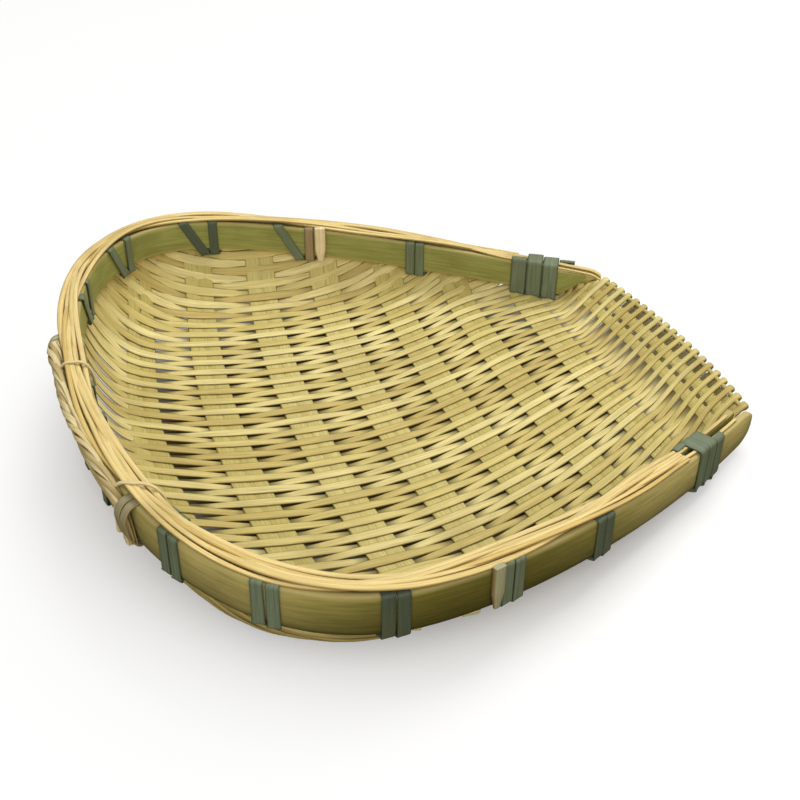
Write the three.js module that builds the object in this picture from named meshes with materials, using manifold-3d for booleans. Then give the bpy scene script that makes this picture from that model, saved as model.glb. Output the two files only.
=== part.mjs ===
// Dustpan basket: a shallow bamboo winnowing pan, open at the front lip.
// Pan coordinates: x across, y from the front corners towards the back, z up from the resting plane.
// All sizes are millimetres.
import * as THREE from 'three';
import { mergeVertices } from 'three/addons/utils/BufferGeometryUtils.js';
import Module from 'manifold-3d';

// Outline of the rim, along the middle of the mat's edge.
const RIM_WIDTH = 329;
const MOUTH_WIDTH = 149;
const SIDE_LENGTH = 214;
const BACK_DEPTH = 96;
const SIDE_CURVE_POWER = 1.5;
const BACK_CURVE_POWER = 2.3;
const RIM_RISE = 42;
const FRONT_GROUND_CLEARANCE = 2.5;

// Hoops that clamp the mat's edge.
const OUTER_HOOP_HEIGHT = 19.5;
const OUTER_HOOP_THICKNESS = 4.4;
const OUTER_HOOP_OVERHANG = 2;
const OUTER_HOOP_TIP_HEIGHT = 17;
const OUTER_HOOP_TAPER_LENGTH = 60;
const INNER_HOOP_HEIGHT = 17;
const INNER_HOOP_THICKNESS = 3.6;
const INNER_HOOP_SETBACK = 8;
const HOOP_EDGE_ROUND = 1.2;

// Woven mat and its upturned front lip.
const MAT_THICKNESS = 1.6;
const MAT_TOP_DROP = 0.5;
const LIP_HEIGHT = 18;
const LIP_MARGIN = 26;
const LIP_BOW = 6;
const LIP_CURVE_POWER = 1.3;
const FRONT_RISE = 2.5;
const FRONT_RISE_LENGTH = 110;
const BELLY_FLAT_SHARE = 0.2;
const BELLY_GENTLE_SHARE = 0.12;
const BELLY_WALL_POWER = 11;

// Cross splints, woven through the mat in pairs.
const SPLINT_WIDTH = 8.4;
const LIP_SPLINT_WIDTH = 6;
const SPLINT_PAIR_GAP = 0.8;
const SPLINT_THICKNESS = 0.5;
const SPLINT_SPACING = 40;
const SPLINT_FIRST = 42;
const SPLINT_BOW = 22;
const SPLINT_REACH = 0.87;
const LAST_SPLINT_REACH = 0.7;
const SPLINT_BACK_MARGIN = 20;
const LIP_PAIR_SETBACK = 11.5;
const LIP_PAIR_REACH = 0.9;
const LIP_CORE_DIAMETER = 2;
const LIP_CORE_END_GAP = 4;

// Straw filler strands along the top of the rim.
const STRAND_COUNT = 6;
const STRAND_WIDTH = 1.5;
const STRAND_THICKNESS = 1.8;
const STRAND_PITCH = 1.9;
const STRAND_FROM_FRONT_LASHING = 1.5;

// Bamboo-skin lashings.
const STRIP_THICKNESS = 0.9;
const SIDE_STRIP_WIDTH = 5.4;
const SIDE_STRIP_TURNS = 2;
const SIDE_STRIP_DIAGONAL = 13;
const FRONT_STRIP_WIDTH = 7.6;
const FRONT_STRIP_TURNS = 3;
const BACK_STRIP_WIDTH = 4.6;
const BACK_STRIP_TURNS = 1;
const STRIP_TURN_GAP = 0.7;
const STRIP_TUCK = 2;

// Places of the lashings along the rim: the front ones from the front corner on each side,
// the side ones forward from the grip's end on each side, the back ones from the middle of the back.
const FRONT_LASHING = { right: 29, left: 49 };
const SIDE_LASHINGS = {
  right: [55.6, 116.6, 179.1, 238.1, 306.1],
  left: [18.1, 60.1, 105.1, 156.1, 209.6],
};
const SLANTED_LASHINGS = 4;
const BACK_LASHINGS = [18, 44, 70];

// Wooden pegs beside the middle lashings.
const PEG_WIDTH = 5.2;
const PEG_THICKNESS = 2.8;
const PEG_LENGTH = 20;
const PEG_TIP_WIDTH = 2.4;
const PEG_LASHING_INDEX = 3;

// Fibre grip behind the back of the rim, and what ties it.
const GRIP_DIAMETER = 6.4;
const GRIP_HALF_SPAN = 70;
const GRIP_SHIFT = 33;
const GRIP_DROP = 4;
const GRIP_END_DROP = 12;
const GRIP_END_LENGTH = 16;
const TIE_WIDTH = 5;
const TIE_TURNS = 2;
const TIE_FROM_GRIP_END = 6;
const TWINE_DIAMETER = 1.6;
const TWINE_LEG = 9;
const TWINE_FROM_TIE = 16;

// Clearance between pieces that touch.
const CLEARANCE = 0.3;

// Mesh steps.
const MARGIN_STEPS = 5;
const WALL_SHARES = [0.5, 0.7, 0.82, 0.89, 0.945, 0.98, 1];
const BAND_STEP = 10;
const SPLINT_STEPS = 16;
const TUBE_SIDES = 8;
const GRIP_STEPS = 22;
const TWINE_STEPS = 14;

const STRAW = new THREE.MeshStandardMaterial({ color: '#d3c07a', roughness: 0.62, metalness: 0 });
const SPLINT_WOOD = new THREE.MeshStandardMaterial({ color: '#c8b36c', roughness: 0.66, metalness: 0 });
const HOOP_SKIN = new THREE.MeshStandardMaterial({ color: '#7f8748', roughness: 0.48, metalness: 0 });
const STRIP_SKIN = new THREE.MeshStandardMaterial({ color: '#6e7a66', roughness: 0.55, metalness: 0 });
const RIM_STRAW = new THREE.MeshStandardMaterial({ color: '#dfbf74', roughness: 0.55, metalness: 0 });
const PEG_WOOD = new THREE.MeshStandardMaterial({ color: '#c7a572', roughness: 0.7, metalness: 0 });
const FIBRE = new THREE.MeshStandardMaterial({ color: '#ab9768', roughness: 0.85, metalness: 0 });

const wasm = await Module();
wasm.setup();

// Rim heights and widths that the pieces share.
const EDGE_DROP = Math.max(OUTER_HOOP_HEIGHT, INNER_HOOP_HEIGHT);
const RIM_FRONT_HEIGHT = FRONT_GROUND_CLEARANCE + EDGE_DROP;
const RIM_DEPTH = SIDE_LENGTH + BACK_DEPTH;
const MAT_FACE = MAT_THICKNESS / 2;
const HOOP_FACE = MAT_FACE + CLEARANCE;
const OUTER_FACE = HOOP_FACE + OUTER_HOOP_THICKNESS;
const INNER_FACE = HOOP_FACE + INNER_HOOP_THICKNESS;
const STRIP_SEAT = CLEARANCE + STRIP_THICKNESS;
const STRAND_SEAT = STRIP_SEAT + CLEARANCE;
const STRAND_TOP = STRAND_SEAT + STRAND_THICKNESS;

function rimTop(y) {
  return RIM_FRONT_HEIGHT + RIM_RISE * y / RIM_DEPTH;
}

function halfWidth(y) {
  const t = THREE.MathUtils.clamp(y / SIDE_LENGTH, 0, 1);
  const flare = 1 - (1 - t) ** SIDE_CURVE_POWER;
  return MOUTH_WIDTH / 2 + (RIM_WIDTH - MOUTH_WIDTH) / 2 * flare;
}

function backPoint(angle) {
  const power = 2 / BACK_CURVE_POWER;
  const c = Math.cos(angle);
  const s = Math.max(0, Math.sin(angle));
  const x = RIM_WIDTH / 2 * Math.sign(c) * Math.abs(c) ** power;
  return new THREE.Vector2(x, SIDE_LENGTH + BACK_DEPTH * s ** power);
}

// The U of the rim's top, from the right front corner round the back to the left front corner.
class RimLine extends THREE.Curve {
  getPoint(t, target = new THREE.Vector3()) {
    const side = 1 / 3;
    if (t < side) {
      const y = SIDE_LENGTH * t / side;
      return target.set(halfWidth(y), y, rimTop(y));
    }
    if (t > 1 - side) {
      const y = SIDE_LENGTH * (1 - t) / side;
      return target.set(-halfWidth(y), y, rimTop(y));
    }
    const p = backPoint(Math.PI * (t - side) / (1 - 2 * side));
    return target.set(p.x, p.y, rimTop(p.y));
  }
}

const rimLine = new RimLine();
rimLine.arcLengthDivisions = 1500;
const RIM_LENGTH = rimLine.getLength();

function stepsAlong(start, end, step) {
  const count = Math.max(2, Math.round((end - start) / step));
  return Array.from({ length: count + 1 }, (_, i) => start + (end - start) * i / count);
}

// Stations that every piece on the rim shares, closer together along the upturned lip.
function exactFrame(s) {
  const at = rimLine.getPointAt(s / RIM_LENGTH);
  const along = rimLine.getTangentAt(s / RIM_LENGTH).setZ(0).normalize();
  return { s, at, out: new THREE.Vector3(along.y, -along.x, 0) };
}

function distanceToRow(y) {
  let [low, high] = [0, RIM_LENGTH / 2];
  while (high - low > 1e-4) {
    const middle = (low + high) / 2;
    if (exactFrame(middle).at.y < y) {
      low = middle;
    } else {
      high = middle;
    }
  }
  return low;
}

const LIP_REACH = distanceToRow(LIP_MARGIN);
const halfStations = [
  ...stepsAlong(0, LIP_REACH, LIP_REACH / MARGIN_STEPS),
  ...stepsAlong(LIP_REACH, RIM_LENGTH / 2, BAND_STEP).slice(1),
];
const rimStations = [...halfStations, ...halfStations.slice(0, -1).reverse().map((s) => RIM_LENGTH - s)];
const stationFrames = rimStations.map(exactFrame);

// Frame on the rim at a distance s along it, on the straight runs between stations and past the ends.
function rimFrame(s) {
  let i = 0;
  while (i + 2 < stationFrames.length && stationFrames[i + 1].s < s) {
    i += 1;
  }
  const [from, to] = [stationFrames[i], stationFrames[i + 1]];
  const share = (s - from.s) / (to.s - from.s);
  const turn = THREE.MathUtils.clamp(share, 0, 1);
  const at = from.at.clone().lerp(to.at, share);
  return { at, out: from.out.clone().lerp(to.out, turn) };
}

// A point beside the rim: out from the mat's edge, up from the hoops' top.
function besideRim(s, out, up) {
  const frame = rimFrame(s);
  return frame.at.clone().addScaledVector(frame.out, out).setZ(frame.at.z + up);
}

// Shape of the woven mat, as the height of its middle surface.
function floorLine(y) {
  const rise = FRONT_RISE * Math.max(0, 1 - y / FRONT_RISE_LENGTH) ** 2;
  const lip = Math.max(0, 1 - y / LIP_MARGIN) ** LIP_CURVE_POWER;
  return rise + (LIP_HEIGHT - FRONT_RISE) * lip;
}

function edgeLine(y) {
  return Math.max(rimTop(y) - EDGE_DROP - CLEARANCE, floorLine(y));
}

// Rise of the wall between the belly (0) and the hoops (1), in straight runs between the mat's shares.
const matShares = [0, BELLY_FLAT_SHARE, ...WALL_SHARES];

function smoothBowl(share) {
  const r = Math.max(0, (share - BELLY_FLAT_SHARE) / (1 - BELLY_FLAT_SHARE));
  return BELLY_GENTLE_SHARE * r ** 2 + (1 - BELLY_GENTLE_SHARE) * r ** BELLY_WALL_POWER;
}

function bowl(share) {
  const i = Math.max(1, matShares.findIndex((end) => share <= end));
  const [from, to] = [matShares[i - 1], matShares[i]];
  return THREE.MathUtils.mapLinear(share, from, to, smoothBowl(from), smoothBowl(to));
}

function edgeShare(x, y) {
  if (y <= SIDE_LENGTH) {
    return Math.abs(x) / halfWidth(y);
  }
  const across = (Math.abs(x) / (RIM_WIDTH / 2)) ** BACK_CURVE_POWER;
  const behind = ((y - SIDE_LENGTH) / BACK_DEPTH) ** BACK_CURVE_POWER;
  return (across + behind) ** (1 / BACK_CURVE_POWER);
}

// Rows of the mat near the lip bow forward in the middle.
function bowedRow(row, share) {
  const bow = LIP_BOW * Math.max(0, 1 - share ** 2);
  return row - bow * Math.max(0, 1 - row / LIP_MARGIN);
}

function straightRow(x, y) {
  const bow = LIP_BOW * Math.max(0, 1 - edgeShare(x, Math.max(y, 0)) ** 2);
  return y < LIP_MARGIN ? (y + bow) / (1 + bow / LIP_MARGIN) : y;
}

function matHeight(x, y) {
  const row = straightRow(x, y);
  const low = floorLine(row);
  return MAT_FACE + low + (edgeLine(row) - low) * bowl(Math.min(1, edgeShare(x, row)));
}

function matNormal(x, y) {
  const d = 0.05;
  const dx = (matHeight(x + d, y) - matHeight(x - d, y)) / (2 * d);
  const dy = (matHeight(x, y + d) - matHeight(x, y - d)) / (2 * d);
  return new THREE.Vector3(-dx, -dy, 1).normalize();
}

// Closed geometry from vertices and triangles, with its faces turned outwards.
function closedGeometry(vertices, triangles) {
  let volume = 0;
  for (const [a, b, c] of triangles) {
    volume += vertices[a].dot(new THREE.Vector3().crossVectors(vertices[b], vertices[c]));
  }
  const faces = volume < 0 ? triangles.map(([a, b, c]) => [a, c, b]) : triangles;
  const geometry = new THREE.BufferGeometry();
  geometry.setFromPoints(vertices);
  geometry.setIndex(faces.flat());
  geometry.computeVertexNormals();
  return geometry;
}

// Solid through a row of rings with equal point counts, closed at both ends.
function loft(rings) {
  const n = rings[0].length;
  const triangles = [];
  for (let i = 0; i + 1 < rings.length; i++) {
    for (let j = 0; j < n; j++) {
      const a = i * n + j;
      const b = i * n + (j + 1) % n;
      triangles.push([a, b, b + n], [a, b + n, a + n]);
    }
  }
  const last = (rings.length - 1) * n;
  for (let j = 1; j + 1 < n; j++) {
    triangles.push([0, j + 1, j], [last, last + j, last + j + 1]);
  }
  return closedGeometry(rings.flat(), triangles);
}

function toSolid(geometry) {
  const bare = new THREE.BufferGeometry();
  bare.setAttribute('position', geometry.getAttribute('position').clone());
  bare.setIndex(geometry.getIndex() ? geometry.getIndex().clone() : null);
  const merged = mergeVertices(bare, 1e-4);
  const vertProperties = new Float32Array(merged.getAttribute('position').array);
  const triVerts = new Uint32Array(merged.getIndex().array);
  return new wasm.Manifold(new wasm.Mesh({ numProp: 3, vertProperties, triVerts }));
}

function fromSolid(solid) {
  const mesh = solid.getMesh();
  const geometry = new THREE.BufferGeometry();
  geometry.setAttribute('position', new THREE.BufferAttribute(new Float32Array(mesh.vertProperties), 3));
  geometry.setIndex(new THREE.BufferAttribute(new Uint32Array(mesh.triVerts), 1));
  geometry.computeVertexNormals();
  return geometry;
}

const pan = new THREE.Group();

function addPiece(name, geometry, material) {
  const mesh = new THREE.Mesh(geometry, material);
  mesh.name = name;
  pan.add(mesh);
}

// Woven mat: a dished sheet whose edge stands up between the hoops.
// A column of the mat runs from the middle of the belly out to one station of the rim.
function matColumn({ at }) {
  if (at.y <= SIDE_LENGTH) {
    return (share) => new THREE.Vector2(share * at.x, bowedRow(at.y, share));
  }
  return (share) => new THREE.Vector2(share * at.x, SIDE_LENGTH + share * (at.y - SIDE_LENGTH));
}

function matSheet() {
  const middle = [];
  const normals = [];
  const index = new Map();
  const addPoint = (p, normal) => {
    const key = `${p.x.toFixed(4)} ${p.y.toFixed(4)} ${p.z.toFixed(4)}`;
    if (!index.has(key)) {
      index.set(key, middle.length);
      middle.push(p);
      normals.push(normal);
    }
    return index.get(key);
  };
  const grid = stationFrames.map((frame) => {
    const column = matColumn(frame);
    const points = matShares.map((share) => {
      const flat = column(share);
      return addPoint(new THREE.Vector3(flat.x, flat.y, matHeight(flat.x, flat.y)), matNormal(flat.x, flat.y));
    });
    const level = frame.out.clone().negate();
    const top = frame.at.clone().setZ(frame.at.z - MAT_TOP_DROP);
    normals[points[points.length - 1]] = level;
    points.push(addPoint(top, level));
    return points;
  });
  const sheet = [];
  for (let i = 0; i + 1 < grid.length; i++) {
    for (let k = 0; k + 1 < grid[i].length; k++) {
      const [a, b, c, d] = [grid[i][k], grid[i][k + 1], grid[i + 1][k + 1], grid[i + 1][k]];
      sheet.push([a, b, c], [a, c, d]);
    }
  }
  const faces = sheet.filter(([a, b, c]) => a !== b && b !== c && c !== a);
  return thicken(middle, normals, faces);
}

// Closed sheet of even thickness about a middle surface.
function thicken(middle, normals, faces) {
  const n = middle.length;
  const inner = middle.map((p, i) => p.clone().addScaledVector(normals[i], MAT_FACE));
  const outer = middle.map((p, i) => p.clone().addScaledVector(normals[i], -MAT_FACE));
  const edges = new Set(faces.flatMap(([a, b, c]) => [`${a} ${b}`, `${b} ${c}`, `${c} ${a}`]));
  const triangles = faces.flatMap(([a, b, c]) => [[a, b, c], [a + n, c + n, b + n]]);
  for (const edge of edges) {
    const [a, b] = edge.split(' ').map(Number);
    if (!edges.has(`${b} ${a}`)) {
      triangles.push([b, a, a + n], [b, a + n, b + n]);
    }
  }
  return closedGeometry([...inner, ...outer], triangles);
}

// Hoops: bands with softened edges, swept along the rim.
function hoopRing(s, near, far, bottom) {
  const side = Math.sign(far - near);
  const round = Math.min(HOOP_EDGE_ROUND, Math.abs(far - near) / 2, -bottom / 3);
  const section = [
    [near, 0], [near, bottom], [far - side * round, bottom],
    [far, bottom + round], [far, -round], [far - side * round, 0],
  ];
  return section.map(([out, up]) => besideRim(s, out, up));
}

function addOuterHoop() {
  const round = OUTER_HOOP_HEIGHT / 2;
  const tip = [0, 0.12, 0.4].map((share) => share * round - OUTER_HOOP_OVERHANG);
  const middle = rimStations.slice(1, -1);
  const rings = [...tip, ...middle, ...tip.map((s) => RIM_LENGTH - s).reverse()].map((s) => {
    const fromEnd = Math.min(s, RIM_LENGTH - s) + OUTER_HOOP_OVERHANG;
    const lift = round * Math.max(0, 1 - fromEnd / round) ** 2;
    const taper = Math.max(0, 1 - fromEnd / OUTER_HOOP_TAPER_LENGTH);
    const height = THREE.MathUtils.lerp(OUTER_HOOP_HEIGHT, OUTER_HOOP_TIP_HEIGHT, taper);
    return hoopRing(s, HOOP_FACE, OUTER_FACE, lift - height);
  });
  addPiece('outer_hoop', loft(rings), HOOP_SKIN);
}

// The inner hoop's ends are cut on a slant that follows the upturned lip.
function addInnerHoop() {
  const setback = INNER_HOOP_SETBACK;
  const middle = rimStations.filter((s) => s > setback + 1 && s < RIM_LENGTH - setback - 1);
  const rings = [setback, ...middle, RIM_LENGTH - setback].map((s) => {
    const { y } = rimFrame(s).at;
    const lip = floorLine(y) + 2 * MAT_THICKNESS + CLEARANCE - rimTop(y);
    return hoopRing(s, -HOOP_FACE, -INNER_FACE, Math.max(-INNER_HOOP_HEIGHT, lip));
  });
  addPiece('inner_hoop', loft(rings), HOOP_SKIN);
}

// Filler strands lie side by side over the hoops and the lashings, and end behind the front lashings.
function addRimStrands() {
  const centre = (OUTER_FACE - INNER_FACE) / 2;
  const clear = frontWinding(1).halfReach + STRAND_FROM_FRONT_LASHING;
  const [start, end] = [FRONT_LASHING.right + clear, RIM_LENGTH - FRONT_LASHING.left - clear];
  const middle = rimStations.filter((s) => s > start + 1 && s < end - 1);
  const stations = [start, ...middle, end];
  for (let i = 0; i < STRAND_COUNT; i++) {
    const out = centre + (i - (STRAND_COUNT - 1) / 2) * STRAND_PITCH;
    const half = STRAND_WIDTH / 2;
    const rings = stations.map((s) => [
      besideRim(s, out - half, STRAND_SEAT),
      besideRim(s, out + half, STRAND_SEAT),
      besideRim(s, out + half, STRAND_TOP),
      besideRim(s, out - half, STRAND_TOP),
    ]);
    addPiece(`rim_strand_${i + 1}`, loft(rings), RIM_STRAW);
  }
}

// Cross splint lying on the mat from one wall to the other, on one side of a row given by a formula.
function crossSplint(rowAt, width, side, reach) {
  const offset = side * (width + SPLINT_PAIR_GAP) / 2;
  const seat = MAT_FACE + CLEARANCE;
  const top = seat + SPLINT_THICKNESS;
  const rings = stepsAlong(-reach, reach, 2 * reach / SPLINT_STEPS).map((share) => {
    const place = (t) => new THREE.Vector2(t * halfWidthAt(rowAt(t)), rowAt(t));
    const at = place(share);
    const along = place(share + 0.005).sub(place(share - 0.005)).normalize();
    const corner = (w, h) => {
      const [x, y] = [at.x - along.y * w, at.y + along.x * w];
      return new THREE.Vector3(x, y, matHeight(x, y)).addScaledVector(matNormal(x, y), h);
    };
    const [front, back] = [offset - width / 2, offset + width / 2];
    return [corner(front, seat), corner(back, seat), corner(back, top), corner(front, top)];
  });
  return loft(rings);
}

// Half the pan's width at any row, round the back as well.
function halfWidthAt(y) {
  if (y <= SIDE_LENGTH) {
    return halfWidth(y);
  }
  const behind = Math.min(1, (y - SIDE_LENGTH) / BACK_DEPTH) ** BACK_CURVE_POWER;
  return RIM_WIDTH / 2 * (1 - behind) ** (1 / BACK_CURVE_POWER);
}

function addCrossSplints() {
  const pairs = Math.floor((RIM_DEPTH - SPLINT_BACK_MARGIN - SPLINT_FIRST) / SPLINT_SPACING) + 1;
  for (let i = 0; i < pairs; i++) {
    const middle = SPLINT_FIRST + i * SPLINT_SPACING;
    const rowAt = (share) => middle - SPLINT_BOW * middle / RIM_DEPTH * share ** 2;
    const reach = i === pairs - 1 ? LAST_SPLINT_REACH : SPLINT_REACH;
    addPiece(`cross_splint_${i + 1}_front`, crossSplint(rowAt, SPLINT_WIDTH, -1, reach), SPLINT_WOOD);
    addPiece(`cross_splint_${i + 1}_back`, crossSplint(rowAt, SPLINT_WIDTH, 1, reach), SPLINT_WOOD);
  }
  const lipRow = (share) => bowedRow(LIP_PAIR_SETBACK, share);
  addPiece('lip_splint_front', crossSplint(lipRow, LIP_SPLINT_WIDTH, -1, LIP_PAIR_REACH), SPLINT_WOOD);
  addPiece('lip_splint_back', crossSplint(lipRow, LIP_SPLINT_WIDTH, 1, LIP_PAIR_REACH), SPLINT_WOOD);
}

// Rod along the front edge of the mat, which the strands turn round.
function addLipCore() {
  const radius = LIP_CORE_DIAMETER / 2;
  const points = stepsAlong(-1, 1, 2 / SPLINT_STEPS).map((share) => {
    const y = bowedRow(0, share) - radius - CLEARANCE;
    return new THREE.Vector3(share * (MOUTH_WIDTH / 2 - LIP_CORE_END_GAP), y, MAT_FACE + LIP_HEIGHT + radius);
  });
  addPiece('lip_core', tube(points, radius, SPLINT_STEPS), SPLINT_WOOD);
}

function tube(points, radius, steps) {
  const section = new THREE.Shape();
  for (let i = 0; i < TUBE_SIDES; i++) {
    const angle = 2 * Math.PI * i / TUBE_SIDES;
    const [x, y] = [radius * Math.cos(angle), radius * Math.sin(angle)];
    if (i === 0) {
      section.moveTo(x, y);
    } else {
      section.lineTo(x, y);
    }
  }
  section.closePath();
  const extrudePath = new THREE.CatmullRomCurve3(points);
  return new THREE.ExtrudeGeometry(section, { steps, extrudePath, bevelEnabled: false });
}

// Route of a flat strip wound round the rim: each stop is a place along the rim and a corner of its section.
// The hand is 1 or -1, and turns the route about so that both sides of the pan mirror each other.
function windingStops({ width, turns, diagonal, outerFace, hand }) {
  const pitch = width + STRIP_TURN_GAP;
  const first = -pitch * (turns + 1) / 2;
  const stops = [
    { along: first - diagonal, corner: 'tuckIn' },
    { along: first - diagonal, corner: 'topIn' },
  ];
  for (let turn = 0; turn < turns; turn++) {
    const inside = first + turn * pitch;
    const outside = inside + pitch;
    if (turn > 0) {
      stops.push({ along: inside, corner: 'topIn' });
    }
    stops.push({ along: inside, corner: 'lowIn' });
    stops.push({ along: outside, corner: 'lowOut' });
    stops.push({ along: outside, corner: 'topOut' });
  }
  stops.push({ along: first + turns * pitch, corner: 'tuckOut' });
  for (const stop of stops) {
    stop.along *= hand;
  }
  return { stops, outerFace, width, halfReach: pitch * (turns + 1) / 2 + width / 2 };
}

// Out and up of a strip's inner or outer face at a corner of its route.
function stripCorner(corner, face, outerFace) {
  const low = -EDGE_DROP - face;
  const inside = -INNER_FACE - face;
  const outside = outerFace + face;
  const middle = (OUTER_FACE - INNER_FACE) / 2;
  return {
    tuckIn: [middle - STRIP_TUCK, face],
    topIn: [inside, face],
    lowIn: [inside, low],
    lowOut: [outside, low],
    topOut: [outside, face],
    tuckOut: [middle + STRIP_TUCK, face],
  }[corner];
}

function stripGeometry(s, { stops, outerFace, width }) {
  const half = width / 2;
  const rings = stops.map(({ along, corner }) => {
    const near = stripCorner(corner, CLEARANCE, outerFace);
    const far = stripCorner(corner, STRIP_SEAT, outerFace);
    return [
      besideRim(s + along - half, ...near),
      besideRim(s + along + half, ...near),
      besideRim(s + along + half, ...far),
      besideRim(s + along - half, ...far),
    ];
  });
  return loft(rings);
}

// Least gap between one turn of a strip and the next, measured on points along its edges.
function leastGapToSelf(s, { stops, outerFace, width }) {
  const samples = 12;
  const edges = [[], []];
  for (let i = 0; i + 1 < stops.length; i++) {
    const from = stripCorner(stops[i].corner, CLEARANCE, outerFace);
    const to = stripCorner(stops[i + 1].corner, CLEARANCE, outerFace);
    for (let k = 0; k < samples; k++) {
      const mix = (a, b) => a + (b - a) * k / samples;
      const along = s + mix(stops[i].along, stops[i + 1].along);
      const [out, up] = [mix(from[0], to[0]), mix(from[1], to[1])];
      edges[0].push({ leg: i, p: besideRim(along - width / 2, out, up) });
      edges[1].push({ leg: i, p: besideRim(along + width / 2, out, up) });
    }
  }
  let least = Infinity;
  for (const a of edges[1]) {
    for (const b of edges[0]) {
      if (Math.abs(b.leg - a.leg) > 2) {
        least = Math.min(least, a.p.distanceTo(b.p));
      }
    }
  }
  return least;
}

// Slot in the mat's wall under the hoops, where a strip passes through the weave.
function stripSlot(s, { halfReach, outerFace }) {
  const low = -EDGE_DROP - STRIP_SEAT - CLEARANCE;
  const high = MAT_THICKNESS - EDGE_DROP;
  const inside = -INNER_FACE - STRIP_SEAT - CLEARANCE;
  const half = halfReach + CLEARANCE;
  const stations = stepsAlong(s - half, s + half, SIDE_STRIP_WIDTH);
  return loft(stations.map((at) => [
    besideRim(at, inside, low),
    besideRim(at, outerFace, low),
    besideRim(at, outerFace, high),
    besideRim(at, inside, high),
  ]));
}

const slots = [];

function addWinding(name, s, winding, material) {
  slots.push(stripSlot(s, winding));
  addPiece(name, stripGeometry(s, winding), material);
  if (winding.stops.length > 6) {
    console.log(`${name}: least gap to itself ${leastGapToSelf(s, winding).toFixed(2)} mm`);
  }
}

// Name, place along the rim and hand of a piece on each side, from its distances to the two front corners.
function bothSides({ right, left }) {
  return [['right', right, -1], ['left', RIM_LENGTH - left, 1]];
}

// Distances from the two front corners to places forward of the grip's ends.
function forwardOfGrip({ right, left }) {
  return {
    right: RIM_LENGTH / 2 + GRIP_SHIFT - GRIP_HALF_SPAN - right,
    left: RIM_LENGTH / 2 - GRIP_SHIFT - GRIP_HALF_SPAN - left,
  };
}

function sideLashing(i) {
  return forwardOfGrip({ right: SIDE_LASHINGS.right[i], left: SIDE_LASHINGS.left[i] });
}

function frontWinding(hand) {
  const outerFace = OUTER_FACE;
  return windingStops({ width: FRONT_STRIP_WIDTH, turns: FRONT_STRIP_TURNS, diagonal: 0, outerFace, hand });
}

function addLashings() {
  const outerFace = OUTER_FACE;
  for (const [side, s, hand] of bothSides(FRONT_LASHING)) {
    addWinding(`front_lashing_${side}`, s, frontWinding(hand), STRIP_SKIN);
  }
  const shape = { width: SIDE_STRIP_WIDTH, turns: SIDE_STRIP_TURNS, outerFace };
  for (let i = 0; i < SIDE_LASHINGS.right.length; i++) {
    for (const [side, s, hand] of bothSides(sideLashing(i))) {
      const diagonal = side === 'right' && i < SLANTED_LASHINGS ? SIDE_STRIP_DIAGONAL : 0;
      addWinding(`side_lashing_${i + 1}_${side}`, s, windingStops({ ...shape, diagonal, hand }), STRIP_SKIN);
    }
  }
  const back = windingStops({ width: BACK_STRIP_WIDTH, turns: BACK_STRIP_TURNS, diagonal: 0, outerFace, hand: 1 });
  BACK_LASHINGS.forEach((fromMiddle, i) => {
    addWinding(`back_lashing_${i + 1}`, RIM_LENGTH / 2 + fromMiddle, back, STRIP_SKIN);
  });
}

// Tapered peg driven down beside a lashing, on the inner face at the right and the outer face at the left.
function addPegs() {
  const pitch = SIDE_STRIP_WIDTH + STRIP_TURN_GAP;
  const reach = SIDE_STRIP_WIDTH / 2 + STRIP_TURN_GAP + PEG_WIDTH / 2;
  const lastInside = pitch * (SIDE_STRIP_TURNS - 1) / 2 - pitch / 2;
  const firstOutside = pitch * (SIDE_STRIP_TURNS - 1) / 2;
  const [[, rightAt], [, leftAt]] = bothSides(sideLashing(PEG_LASHING_INDEX));
  const inside = -INNER_FACE - CLEARANCE;
  const outside = OUTER_FACE + CLEARANCE;
  const shapes = [
    ['peg_right', rightAt - lastInside - reach, inside, -PEG_THICKNESS],
    ['peg_left', leftAt - firstOutside - reach, outside, PEG_THICKNESS],
  ];
  for (const [name, s, seat, depth] of shapes) {
    const ring = (width, thickness, up) => [
      besideRim(s - width / 2, seat, up),
      besideRim(s + width / 2, seat, up),
      besideRim(s + width / 2, seat + thickness, up),
      besideRim(s - width / 2, seat + thickness, up),
    ];
    addPiece(name, loft([
      ring(PEG_WIDTH, depth, STRIP_SEAT),
      ring(PEG_WIDTH, depth, STRIP_SEAT - PEG_LENGTH * 0.7),
      ring(PEG_TIP_WIDTH, depth / 2, STRIP_SEAT - PEG_LENGTH),
    ]), PEG_WOOD);
  }
}

// Fibre grip along the outside of the back; its ends dip towards the hoop's lower edge.
function addGrip() {
  const radius = GRIP_DIAMETER / 2;
  const out = OUTER_FACE + STRIP_SEAT + CLEARANCE + radius;
  const points = stepsAlong(-GRIP_HALF_SPAN, GRIP_HALF_SPAN, GRIP_HALF_SPAN / 8).map((a) => {
    const fromEnd = GRIP_HALF_SPAN - Math.abs(a);
    const dip = Math.max(0, 1 - fromEnd / GRIP_END_LENGTH) ** 2;
    return besideRim(RIM_LENGTH / 2 + GRIP_SHIFT + a, out, -GRIP_DROP - GRIP_END_DROP * dip);
  });
  addPiece('back_grip', tube(points, radius, GRIP_STEPS), FIBRE);
  const outerFace = out + radius;
  const tie = { width: TIE_WIDTH, turns: TIE_TURNS, diagonal: 0, outerFace };
  const fromCorners = (inset) => forwardOfGrip({ right: -inset, left: -inset });
  for (const [side, s, hand] of bothSides(fromCorners(TIE_FROM_GRIP_END))) {
    addWinding(`grip_tie_${side}`, s, windingStops({ ...tie, hand }), FIBRE);
  }
  for (const [side, s] of bothSides(fromCorners(TIE_FROM_GRIP_END + TWINE_FROM_TIE))) {
    addTwine(`rim_twine_${side}`, s);
  }
}

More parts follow.
